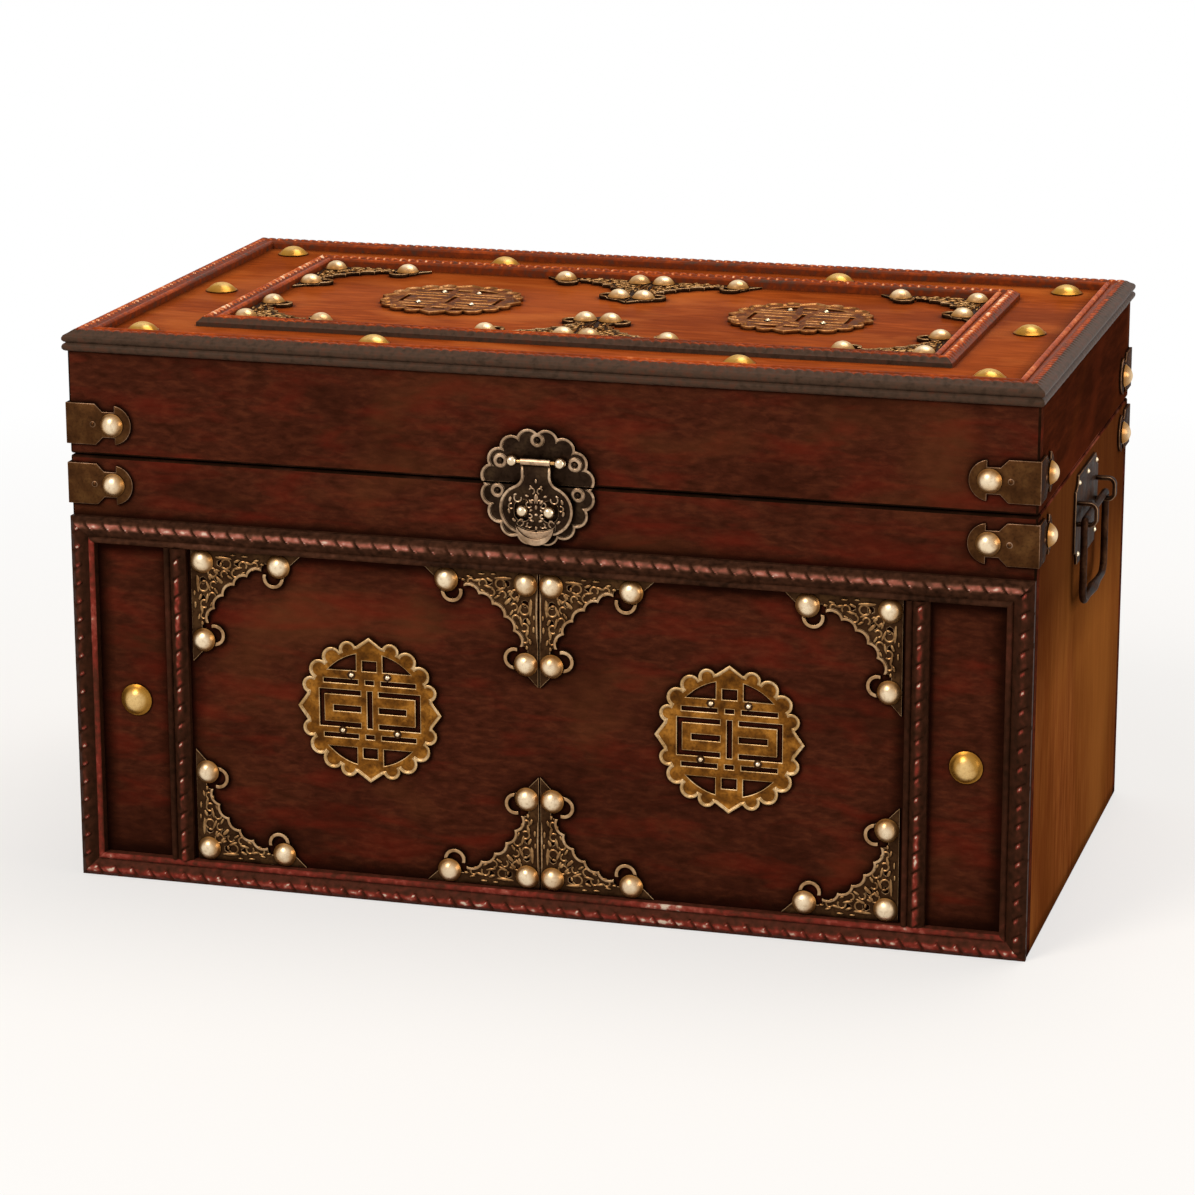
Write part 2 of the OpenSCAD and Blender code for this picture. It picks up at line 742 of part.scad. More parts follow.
module bail() {
    arm = bail_w / 2;
    low = -bail_drop;
    swell = (arm - bail_corner_r) * grip_share;
    translate([0, bail_z, bail_out]) {
        rod_x(2 * (arm - bail_top_r), bail_r);
        translate([0, low, 0]) rod_x(2 * (arm - bail_corner_r), bail_r);
        pair_x() {
            translate([arm, 0, 0]) rod_y(low + bail_corner_r, -bail_top_r, bail_r);
            translate([arm - bail_top_r, -bail_top_r, 0]) bail_corner(bail_top_r);
            translate([arm - bail_corner_r, low + bail_corner_r, 0]) rotate(-90) bail_corner(bail_corner_r);
            translate([0, low, 0]) rotate([0, 90, 0]) cylinder(h = swell, r1 = grip_r, r2 = bail_r);
        }
    }
}
module plate_pins() {
    translate([0, plate_z]) for (p = plate_pin_shares)
        translate([p[0] * plate_w / 2, p[1] * plate_h / 2]) small_pin(plate_t);
}

// Hinges: side is -1 for the left one and 1 for the right one, up is 1 for the lid
module leaf(side, up) {
    edge = up * (knuckle_r + gap);
    translate([side * hinge_x, 0, axis_z]) difference() {
        union() {
            block(
                [-hinge_l / 2, box_d / 2, min(edge, up * leaf_h)],
                [hinge_l / 2, box_d / 2 + leaf_t, max(edge, up * leaf_h)]
            );
            for (k = up > 0 ? [0] : [-1, 1]) translate([k * (knuckle_l + gap), 0, 0]) {
                block(
                    [-knuckle_l / 2, box_d / 2, min(up * gap, edge)],
                    [knuckle_l / 2, box_d / 2 + leaf_t, max(up * gap, edge)]
                );
                translate([0, hinge_y, 0]) rod_x(knuckle_l, knuckle_r);
            }
        }
        translate([0, hinge_y, 0]) rod_x(hinge_l + cut, hinge_pin_r + hinge_play);
        for (s = [-1, 1]) translate([s * screw_x, box_d / 2 - cut, up * leaf_mid]) rotate([-90, 0, 0])
            linear_extrude(leaf_t + 2 * cut) nail_hole(screw_d * screw_shank_share);
    }
}
module hinge_screws(up) {
    for (h = [-1, 1], s = [-1, 1]) translate([h * hinge_x + s * screw_x, box_d / 2, axis_z + up * leaf_mid])
        rotate([-90, 0, 0]) translate([0, 0, leaf_t])
            nail(screw_d, screw_d * screw_h_share, screw_d * screw_shank_share, shank_l + leaf_t);
}

// Boards, panels and linings of the base and the lid
module long_board(s, low, high) {
    inner = box_d / 2 - board_t;
    block(
        [-box_w / 2, min(s * inner, s * box_d / 2), low],
        [box_w / 2, max(s * inner, s * box_d / 2), high]
    );
}
module short_board(s, low, high) {
    inner = box_w / 2 - board_t;
    block(
        [min(s * inner, s * box_w / 2), board_t - box_d / 2, low],
        [max(s * inner, s * box_w / 2), box_d / 2 - board_t, high]
    );
}
module tray(low, high, floor_low, floor_high) {
    x = box_w / 2 - board_t;
    y = box_d / 2 - board_t;
    difference() {
        block([-x, -y, low], [x, y, high]);
        block([lining_t - x, lining_t - y, floor_low], [x - lining_t, y - lining_t, floor_high]);
    }
}

module base_front_board() { color("#43201a") long_board(-1, 0, base_h); }
module base_back_board() { color("#43201a") long_board(1, 0, base_h); }
module base_left_board() { color("#6b3a1e") short_board(-1, 0, base_h); }
module base_right_board() { color("#6b3a1e") short_board(1, 0, base_h); }
module base_bottom_panel() {
    x = box_w / 2 - board_t;
    y = box_d / 2 - board_t;
    color("#3a2016") block([-x, -y, 0], [x, y, panel_t]);
}
module base_lining() { color("#6d1418") tray(panel_t, base_h, panel_t + lining_t, base_h + cut); }

module frame_piece() { color("#55231b") on_front() translate([0, frame_top / 2]) children(); }
module frame_rail(length) {
    mitred(length, mould_w, 0, mould_high + cut) carved_profile(mould_w, mould_low, mould_high);
}
module frame_top_rail() { frame_piece() rail_back(box_w, frame_top) frame_rail(box_w); }
module frame_bottom_rail() { frame_piece() rail_front(box_w, frame_top) frame_rail(box_w); }
module frame_left_stile() { frame_piece() rail_left(box_w, frame_top) frame_rail(frame_top); }
module frame_right_stile() { frame_piece() rail_right(box_w, frame_top) frame_rail(frame_top); }
module frame_upright_strips() {
    color("#55231b") on_front() pair_x() translate([strip_out, field_low])
        rotate(90) run(field_high - field_low) carved_profile(strip_w, mould_low, mould_high);
}
module front_corner_mounts() { color("#8a683a") on_front() front_mount_places() lace_mount(); }
module front_medallions() { color("#96733c") on_front() front_med_places() medallion(); }
module base_corner_straps() { color("#7a5a30") corner_strap(base_h - base_strap_down); }
module base_round_nails() {
    color("#d8c08a") {
        on_front() front_mount_places() lace_nails();
        strap_nails(base_h - base_strap_down);
    }
}
module front_dome_nails() {
    color("#d8b45a") on_front() pair_x() translate([dome_side_x, field_mid]) dome_nail();
}
module front_medallion_pins() { color("#f0e6d0") on_front() front_med_places() med_pins(); }

module latch_lower_plate() {
    color("#7c6238") on_front() translate([0, latch_z])
        latch_plate(-latch_r, base_h - latch_z, latch_lower_pin_shares);
}
module latch_studs() {
    color("#e4c98c") on_front() translate([0, hasp_z - stud_drop, latch_t]) pair_x()
        translate([stud_gap / 2, 0, 0]) {
            cylinder(r = stud_ball_r * stem_share, h = stud_out - latch_t);
            translate([0, 0, stud_out - latch_t]) sphere(stud_ball_r);
        }
}
module latch_lower_pins() { color("#4a3a24") latch_pins(latch_lower_pin_shares); }

module right_handle_plate() { color("#6e5230") on_right() handle_plate(); }
module left_handle_plate() { color("#6e5230") on_left() handle_plate(); }
module right_handle_loops() { color("#8c7048") on_right() handle_loops(); }
module left_handle_loops() { color("#8c7048") on_left() handle_loops(); }
module right_bail() { color("#7d6340") on_right() bail(); }
module left_bail() { color("#7d6340") on_left() bail(); }
module handle_pins() {
    color("#cdbb90") {
        on_right() plate_pins();
        on_left() plate_pins();
    }
}

module left_hinge_base_leaf() { color("#7a5c30") leaf(-1, -1); }
module right_hinge_base_leaf() { color("#7a5c30") leaf(1, -1); }
module left_hinge_lid_leaf() { color("#7a5c30") leaf(-1, 1); }
module right_hinge_lid_leaf() { color("#7a5c30") leaf(1, 1); }
module hinge_pins() {
    color("#a8905c") pair_x() translate([hinge_x, hinge_y, axis_z]) rod_x(hinge_l, hinge_pin_r);
}
module hinge_base_screws() { color("#a8905c") hinge_screws(-1); }
module hinge_lid_screws() { color("#a8905c") hinge_screws(1); }

module lid_front_board() { color("#43201a") long_board(-1, lid_z, top_z - panel_t); }
module lid_back_board() { color("#43201a") long_board(1, lid_z, top_z - panel_t); }
module lid_left_board() { color("#5a2c1a") short_board(-1, lid_z, top_z - panel_t); }
module lid_right_board() { color("#5a2c1a") short_board(1, lid_z, top_z - panel_t); }
module lid_top_panel() {
    color("#8f471d") block([-box_w / 2, -box_d / 2, top_z - panel_t], [box_w / 2, box_d / 2, top_z]);
}
module lid_lining() {
    color("#6d1418") tray(lid_z, top_z - panel_t, lid_z - cut, top_z - panel_t - lining_t);
}

module edge_rail(length) {
    mitred(length, edge_w + edge_proud, edge_drop, edge_high + cut) edge_profile();
}
module lid_edge_front() {
    color("#55231b") on_lid() rail_front(edge_span_w, edge_span_d) edge_rail(edge_span_w);
}
module lid_edge_back() {
    color("#55231b") on_lid() rail_back(edge_span_w, edge_span_d) edge_rail(edge_span_w);
}
module lid_edge_left() {
    color("#55231b") on_lid() rail_left(edge_span_w, edge_span_d) edge_rail(edge_span_d);
}
module lid_edge_right() {
    color("#55231b") on_lid() rail_right(edge_span_w, edge_span_d) edge_rail(edge_span_d);
}

module lid_frame_rail(length) {
    mitred(length, lid_frame_w, 0, lid_frame_high + cut)
        carved_profile(lid_frame_w, lid_frame_low, lid_frame_high);
}
module lid_frame_front() {
    color("#5e2a1c") on_lid() rail_front(2 * lid_frame_x, 2 * lid_frame_y) lid_frame_rail(2 * lid_frame_x);
}
module lid_frame_back() {
    color("#5e2a1c") on_lid() rail_back(2 * lid_frame_x, 2 * lid_frame_y) lid_frame_rail(2 * lid_frame_x);
}
module lid_frame_left() {
    color("#5e2a1c") on_lid() rail_left(2 * lid_frame_x, 2 * lid_frame_y) lid_frame_rail(2 * lid_frame_y);
}
module lid_frame_right() {
    color("#5e2a1c") on_lid() rail_right(2 * lid_frame_x, 2 * lid_frame_y) lid_frame_rail(2 * lid_frame_y);
}
module lid_corner_mounts() { color("#8a683a") on_lid() lid_mount_places() lace_mount(); }
module lid_medallions() { color("#96733c") on_lid() lid_med_places() medallion(); }
module lid_corner_straps() { color("#7a5a30") corner_strap(lid_z + lid_strap_up); }
module lid_round_nails() {
    color("#d8c08a") {
        on_lid() lid_mount_places() lace_nails();
        strap_nails(lid_z + lid_strap_up);
    }
}
module lid_dome_nails() {
    color("#d8b45a") on_lid() pair_x() {
        translate([dome_lid_x, 0]) dome_nail();
        pair_y() translate([dome_lid_x, dome_lid_y]) dome_nail();
        pair_y() translate([med_lid_x, dome_lid_y]) dome_nail();
    }
}
module lid_medallion_pins() { color("#f0e6d0") on_lid() lid_med_places() med_pins(); }

module latch_upper_plate() {
    color("#7c6238") on_front() translate([0, latch_z])
        latch_plate(lid_z - latch_z, latch_r, latch_upper_pin_shares);
}
module latch_upper_pins() { color("#4a3a24") latch_pins(latch_upper_pin_shares); }
module hasp_posts() {
    color("#e4c98c") on_front() translate([0, hasp_z, 0]) pair_x() translate([hasp_post_gap / 2, 0, 0])
        difference() {
            union() {
                translate([0, 0, latch_t]) cylinder(r = post_ball_r * stem_share, h = hasp_out - latch_t);
                translate([0, 0, hasp_out]) sphere(post_ball_r);
            }
            translate([0, 0, hasp_out]) rod_x(2 * post_ball_r + cut, rod_r);
        }
}
module hasp_rod() {
    color("#e0c48a") on_front() translate([0, hasp_z, hasp_out]) rod_x(hasp_post_gap + 2 * rim_w, rod_r);
}
module hasp() { color("#8c7040") on_front() translate([0, hasp_z, hasp_out]) hasp_body(); }

base_front_board();
base_back_board();
base_left_board();
base_right_board();
base_bottom_panel();
base_lining();
frame_top_rail();
frame_bottom_rail();
frame_left_stile();
frame_right_stile();
frame_upright_strips();
front_corner_mounts();
front_medallions();
base_corner_straps();
base_round_nails();
front_dome_nails();
front_medallion_pins();
latch_lower_plate();
latch_studs();
latch_lower_pins();
right_handle_plate();
right_handle_loops();
right_bail();
left_handle_plate();
left_handle_loops();
left_bail();
handle_pins();
left_hinge_base_leaf();
right_hinge_base_leaf();
hinge_pins();
hinge_base_screws();
left_hinge_lid_leaf();
right_hinge_lid_leaf();
hinge_lid_screws();
lid_front_board();
lid_back_board();
lid_left_board();
lid_right_board();
lid_top_panel();
lid_lining();
lid_edge_front();
lid_edge_back();
lid_edge_left();
lid_edge_right();
lid_frame_front();
lid_frame_back();
lid_frame_left();
lid_frame_right();
lid_corner_mounts();
lid_medallions();
lid_corner_straps();
lid_round_nails();
lid_dome_nails();
lid_medallion_pins();
latch_upper_plate();
latch_upper_pins();
hasp_posts();
hasp_rod();
hasp();
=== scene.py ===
# Lacquered wooden keepsake box: carved mouldings, stamped brass mounts, gilt nails,
# a round latch with a drop hasp, and a drop handle on each side.
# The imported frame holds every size. Metres, +Z up, front towards -Y.
import json
import math
import random

import bmesh
import bpy
from mathutils import Matrix, Vector, noise


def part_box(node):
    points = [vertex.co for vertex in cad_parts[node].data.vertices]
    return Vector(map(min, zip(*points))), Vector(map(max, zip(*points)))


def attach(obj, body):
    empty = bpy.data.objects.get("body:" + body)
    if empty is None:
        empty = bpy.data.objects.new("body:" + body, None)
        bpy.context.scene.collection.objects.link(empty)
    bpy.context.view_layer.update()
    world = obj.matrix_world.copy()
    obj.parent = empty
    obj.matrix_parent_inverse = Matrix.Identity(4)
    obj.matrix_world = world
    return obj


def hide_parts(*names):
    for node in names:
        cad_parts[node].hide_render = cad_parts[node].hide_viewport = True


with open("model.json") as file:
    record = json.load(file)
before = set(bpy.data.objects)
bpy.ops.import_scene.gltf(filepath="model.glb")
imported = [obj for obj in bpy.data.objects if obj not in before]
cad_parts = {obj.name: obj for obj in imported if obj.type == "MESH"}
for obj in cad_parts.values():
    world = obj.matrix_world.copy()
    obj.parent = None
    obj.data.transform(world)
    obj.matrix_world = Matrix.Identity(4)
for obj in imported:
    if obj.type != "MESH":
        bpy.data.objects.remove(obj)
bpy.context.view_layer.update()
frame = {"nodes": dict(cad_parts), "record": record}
mm = 0.001
bodies = frame["record"]["behaviour"]["bodies"]
bodyOf = {node: body for body, nodes in bodies.items() for node in nodes}
dice = random.Random(11)
weld = 0.001 * mm  # vertices nearer than this become one


def linear(hexColour):
    # sRGB hex to the linear values that shaders take
    shares = [int(hexColour[i:i + 2], 16) / 255 for i in (1, 3, 5)]
    return (*[c / 12.92 if c <= 0.04045 else ((c + 0.055) / 1.055) ** 2.4 for c in shares], 1)


def addNode(tree, kind, settings, links, output=0):
    # Adds a shader node and gives its output. "stops" fills a colour ramp, and other
    # settings are inputs or properties.
    node = tree.nodes.new("ShaderNode" + kind)
    for name, value in settings.items():
        if name == "stops":
            ramp = node.color_ramp.elements
            ramp.remove(ramp[1])
            ramp[0].position, ramp[0].color = value[0][0], linear(value[0][1])
            for place, colour in value[1:]:
                ramp.new(place).color = linear(colour)
        elif isinstance(name, int) or name in node.inputs:
            node.inputs[name].default_value = value
        else:
            setattr(node, name, value)
    for name, source in links.items():
        tree.links.new(source, node.inputs[name])
    return node.outputs[output]


def newMaterial(name, settings):
    material = bpy.data.materials.new(name)
    material.use_nodes = True
    tree = material.node_tree
    shader = tree.nodes["Principled BSDF"]
    for key, value in settings.items():
        shader.inputs[key].default_value = value
    return material, tree, shader


def tinted(tree, colour, layers):
    # Lays tints over a colour, each where a value runs from low to high, up to its share
    for value, low, high, share, tint in layers:
        span = {"From Min": low, "From Max": high, "To Max": share}
        amount = addNode(tree, "MapRange", span, {"Value": value})
        mix = {"data_type": "RGBA", 7: linear(tint)}
        colour = addNode(tree, "Mix", mix, {0: amount, 6: colour}, 2)
    return colour


def dressed(tree, shader, colour, height, strength, depth):
    # Gives the shader its colour and a fine relief, depth in mm
    tree.links.new(colour, shader.inputs["Base Color"])
    bump = addNode(tree, "Bump", {"Strength": strength, "Distance": depth * mm}, {"Height": height})
    tree.links.new(bump, shader.inputs["Normal"])


# Stained board under clear lacquer, rubbed back by hand: a fine grain, three washes of
# other tones over it, and painted shade that darkens it against whatever stands on it.
# Grain and washes count cells to the metre along X, Y and Z, so 420 is a grain of 2.4 mm.
# A wash goes on to where its clouds begin and are full, its share and its colour.
washPlaces = ((3.1, 1.7, 0.4), (7.3, 2.9, 5.1), (1.9, 8.3, 2.7))
boardPaintedShade = {"reach": 6 * mm, "open": 0.97, "closed": 0.72}


def lacqueredWood(name, look):
    material, tree, shader = newMaterial(name, {
        "Roughness": look["roughness"], "IOR": 1.5, "Coat Weight": look.get("coat", 0.0),
        "Coat Roughness": 0.2, "Specular IOR Level": look.get("specular", 0.0),
    })
    coords = addNode(tree, "TexCoord", {}, {}, "Object")
    place = addNode(tree, "Mapping", {"Scale": look["grain"]}, {"Vector": coords})
    fibre = {"Scale": 1.0, "Detail": 5.0, "Roughness": 0.6, "Distortion": 0.3}
    grain = addNode(tree, "TexNoise", fibre, {"Vector": place})
    colour = addNode(tree, "ValToRGB", {"stops": look["stain"]}, {"Fac": grain})
    layers = []
    for move, (scale, low, high, share, tint) in zip(washPlaces, look["washes"]):
        place = addNode(tree, "Mapping", {"Scale": scale, "Location": move}, {"Vector": coords})
        drift = {"Scale": 1.0, "Detail": 4.0, "Distortion": 0.4}
        cloud = addNode(tree, "TexNoise", drift, {"Vector": place})
        layers.append((cloud, low, high, share, tint))
    # Painted shade: the board darkens towards its top
    if "fade" in look:
        height = addNode(tree, "SeparateXYZ", {}, {0: coords}, "Z")
        layers.append((height, *look["fade"]))
    # Painted shade: ambient occlusion darkens the board near the mounts and mouldings on it
    corners = {"samples": 4, "Distance": boardPaintedShade["reach"]}
    nearness = addNode(tree, "AmbientOcclusion", corners, {}, "AO")
    layers.append((nearness, boardPaintedShade["open"], boardPaintedShade["closed"], *look["grime"]))
    dressed(tree, shader, tinted(tree, colour, layers), grain, look["bump"], 0.2)
    return material


# Each look also gives the share and colour of the painted shade near what stands on the board
woodLooks = {
    # Front and back: a red mahogany stain, worn brown in clouds
    "front": {
        "roughness": 0.45, "bump": 0.25, "grime": (0.85, "#160905"),
        "grain": (170, 420, 460),
        "stain": [(0.32, "#34180e"), (0.5, "#421f14"), (0.68, "#512819")],
        "washes": [
            ((18, 30, 34), 0.48, 0.7, 0.6, "#28110a"),
            ((15, 20, 24), 0.52, 0.74, 0.7, "#5c331d"),
            ((34, 90, 120), 0.5, 0.72, 0.4, "#6c1e13"),
        ],
    },
    # Sides of the base: a thin walnut stain over upright grain, with painted shade darker towards
    # the lid
    "side": {
        "roughness": 0.5, "bump": 0.15, "grime": (0.6, "#2c1508"),
        "grain": (420, 380, 34), "stain": [(0.3, "#633317"), (0.5, "#733f1c"), (0.7, "#844e24")],
        "fade": (84 * mm, 122 * mm, 0.68, "#371a0c"),
        "washes": [
            ((30, 26, 6), 0.46, 0.7, 0.6, "#54290f"),
            ((10, 12, 7), 0.48, 0.7, 0.6, "#875424"),
            ((30, 30, 14), 0.52, 0.72, 0.3, "#8f5a2c"),
        ],
    },
    # Sides of the lid: the same board, stained once more
    "lidSide": {
        "roughness": 0.5, "bump": 0.15, "grime": (0.6, "#1c0c06"),
        "grain": (420, 60, 380), "stain": [(0.3, "#30140a"), (0.5, "#3b190d"), (0.7, "#481f10")],
        "washes": [
            ((30, 12, 26), 0.46, 0.7, 0.6, "#2c1209"),
            ((10, 12, 14), 0.5, 0.72, 0.6, "#52260f"),
            ((30, 16, 30), 0.52, 0.72, 0.4, "#642a16"),
        ],
    },
    # Top of the lid: a light orange stain with the only gloss that is left
    "lid": {
        "roughness": 0.4, "coat": 0.04, "bump": 0.12, "grime": (0.75, "#41190a"),
        "grain": (60, 330, 400), "stain": [(0.3, "#75320f"), (0.5, "#8a3d14"), (0.7, "#9f4b1b")],
        "washes": [
            ((12, 20, 20), 0.46, 0.7, 0.65, "#6c2c0e"),
            ((8, 12, 12), 0.48, 0.7, 0.6, "#a6521f"),
            ((24, 40, 40), 0.52, 0.72, 0.5, "#b8642c"),
        ],
    },
    # The long corners of the front and back boards, darker than the boards
    "darkEdge": {
        "roughness": 0.5, "bump": 0.25, "grime": (0.6, "#140a05"),
        "grain": (160, 160, 160), "stain": [(0.3, "#150c06"), (0.5, "#20120a"), (0.7, "#30190f")],
        "washes": [
            ((40, 40, 40), 0.42, 0.6, 0.6, "#150d08"),
            ((22, 22, 22), 0.52, 0.7, 0.4, "#3e1e14"),
            ((60, 60, 60), 0.6, 0.8, 0.3, "#5a3428"),
        ],
    },
    # The corners of the side boards, rubbed back through the lacquer to the red ground, with a
    # painted highlight along the eased edge
    "edge": {
        "roughness": 0.5, "bump": 0.25, "grime": (0.4, "#1c0d07"),
        "grain": (160, 160, 160), "stain": [(0.3, "#40190f"), (0.5, "#5c251a"), (0.7, "#7c3a2c")],
        "washes": [
            ((40, 40, 40), 0.42, 0.6, 0.85, "#2f170e"),
            ((22, 22, 22), 0.5, 0.7, 0.7, "#8f4a38"),
            ((60, 60, 60), 0.55, 0.75, 0.5, "#a86450"),
        ],
    },
    # The bottom panel: planed softwood, bare
    "bare": {
        "roughness": 0.7, "specular": 0.3, "bump": 0.3, "grime": (0.4, "#4a3320"),
        "grain": (18, 500, 500), "stain": [(0.3, "#7a5a3a"), (0.5, "#94714b"), (0.7, "#a9875c")],
        "washes": [
            ((8, 40, 40), 0.4, 0.7, 0.5, "#86623d"),
            ((9, 12, 12), 0.5, 0.72, 0.4, "#9a7850"),
            ((20, 60, 60), 0.55, 0.75, 0.3, "#b4946a"),
        ],
    },
}
frontWood = lacqueredWood("frontLacqueredWood", woodLooks["front"])
sideWood = lacqueredWood("sideLacqueredWood", woodLooks["side"])
lidSideWood = lacqueredWood("lidSideLacqueredWood", woodLooks["lidSide"])
lidWood = lacqueredWood("lidLacqueredWood", woodLooks["lid"])
# The side boards' eased corners: rubbed red, with a painted highlight
rubbedAndLitEdgeWood = lacqueredWood("rubbedLacquerEdgeWithHighlight", woodLooks["edge"])
darkEdgeWood = lacqueredWood("darkLacquerEdge", woodLooks["darkEdge"])
bareWood = lacqueredWood("barePlanedWood", woodLooks["bare"])


# Carved hardwood moulding, dark lacquer worn through to red on the crests and to bare
# wood at the tips of the cuts; the red on the crests is partly a painted highlight, and some
# sides carry a painted grey sheen. Wear and painted light are painted on the mesh as it is
# carved, and a grit of 2.4 mm, 420 to the metre, breaks them up.
def carvedMoulding(name, look):
    material, tree, shader = newMaterial(name, {
        "Roughness": 0.42, "IOR": 1.5, "Coat Weight": 0.0,
        "Specular IOR Level": look.get("specular", 0.01),
    })
    coords = addNode(tree, "TexCoord", {}, {}, "Object")
    wear = addNode(tree, "Attribute", {"attribute_name": "wear"}, {}, "Fac")
    grain = {"Scale": 420.0, "Detail": 4.0, "Roughness": 0.6}
    grit = addNode(tree, "TexNoise", grain, {"Vector": coords})
    rough = addNode(tree, "Math", {"operation": "MULTIPLY_ADD", 1: 0.5, 2: -0.25}, {0: grit})
    uneven = addNode(tree, "Math", {"operation": "ADD"}, {0: wear, 1: rough})
    colour = addNode(tree, "ValToRGB", {"stops": look["stops"]}, {"Fac": uneven})
    dressed(tree, shader, colour, grit, 0.25, 0.2)
    return material


mouldingLooks = {
    "carvedMouldingWood": {"stops": [
        (0.0, "#26160d"), (0.3, "#3c2116"), (0.48, "#522a1f"),
        (0.66, "#7a2f26"), (0.8, "#9c5448"), (0.9, "#d2c2b2"),
    ]},
    # The top rail: pinker and brighter, partly as a painted highlight on its upturned crest
    "carvedTopRailLitWood": {"stops": [
        (0.0, "#23140c"), (0.3, "#482c1f"), (0.48, "#694336"),
        (0.66, "#98594b"), (0.8, "#b47c70"), (0.92, "#dcc6b6"),
    ]},
    # The lid's lowest stops are the grey of the painted sheen on the outer sides
    "carvedLidMouldingWood": {"specular": 0.03, "stops": [
        (0.0, "#35281f"), (0.12, "#46362c"), (0.22, "#503428"), (0.36, "#6c2f16"),
        (0.5, "#883914"), (0.66, "#aa4a19"), (0.8, "#cc7642"), (0.92, "#eac8a4"),
    ]},
}
mouldingWood, topRailLitWood, lidMouldingWood = [
    carvedMoulding(name, look) for name, look in mouldingLooks.items()
]


# Stamped and cast brass, blackened in the hollows and rubbed bright on what stands proud.
# Clouds of tarnish are about 6 mm across, 160 to the metre, and specks 1.1 mm, 900 to it.
def antiquedBrass(name, look):
    material, tree, shader = newMaterial(name, {
        "Metallic": look["metallic"], "Specular Tint": linear(look.get("edgeTint", "#6b5038")),
        "Specular IOR Level": look.get("specular", 0.4),
    })
    coords = addNode(tree, "TexCoord", {}, {}, "Object")
    tarnish = {"Scale": 160.0, "Detail": 5.0, "Roughness": 0.6}
    cloud = addNode(tree, "TexNoise", tarnish, {"Vector": coords})
    speck = addNode(tree, "TexNoise", {"Scale": 900.0, "Detail": 3.0}, {"Vector": coords})
    tone = cloud
    if look.get("painted"):
        wear = addNode(tree, "Attribute", {"attribute_name": "wear"}, {}, "Fac")
        shift = addNode(tree, "Math", {"operation": "MULTIPLY_ADD", 1: 0.4, 2: -0.2}, {0: cloud})
        tone = addNode(tree, "Math", {"operation": "ADD"}, {0: wear, 1: shift})
    stops = look["stops"] if "stops" in look else list(zip((0.3, 0.5, 0.7), look["tones"]))
    colour = addNode(tree, "ValToRGB", {"stops": stops}, {"Fac": tone})
    nearness = addNode(tree, "AmbientOcclusion", {"samples": 4, "Distance": 1.5 * mm}, {}, "AO")
    colour = tinted(tree, colour, [
        (speck, 0.5, 0.72, *look["grime"]),
        (nearness, 0.9, 0.5, look.get("hollow", 0.85), look["grime"][1]),
    ])
    uneven = {
        "From Min": 0.3, "From Max": 0.7,
        "To Min": look["roughness"] - 0.08, "To Max": look["roughness"] + 0.12,
    }
    rough = addNode(tree, "MapRange", uneven, {"Value": cloud})
    tree.links.new(rough, shader.inputs["Roughness"])
    dressed(tree, shader, colour, speck, look["bump"], 0.1)
    return material


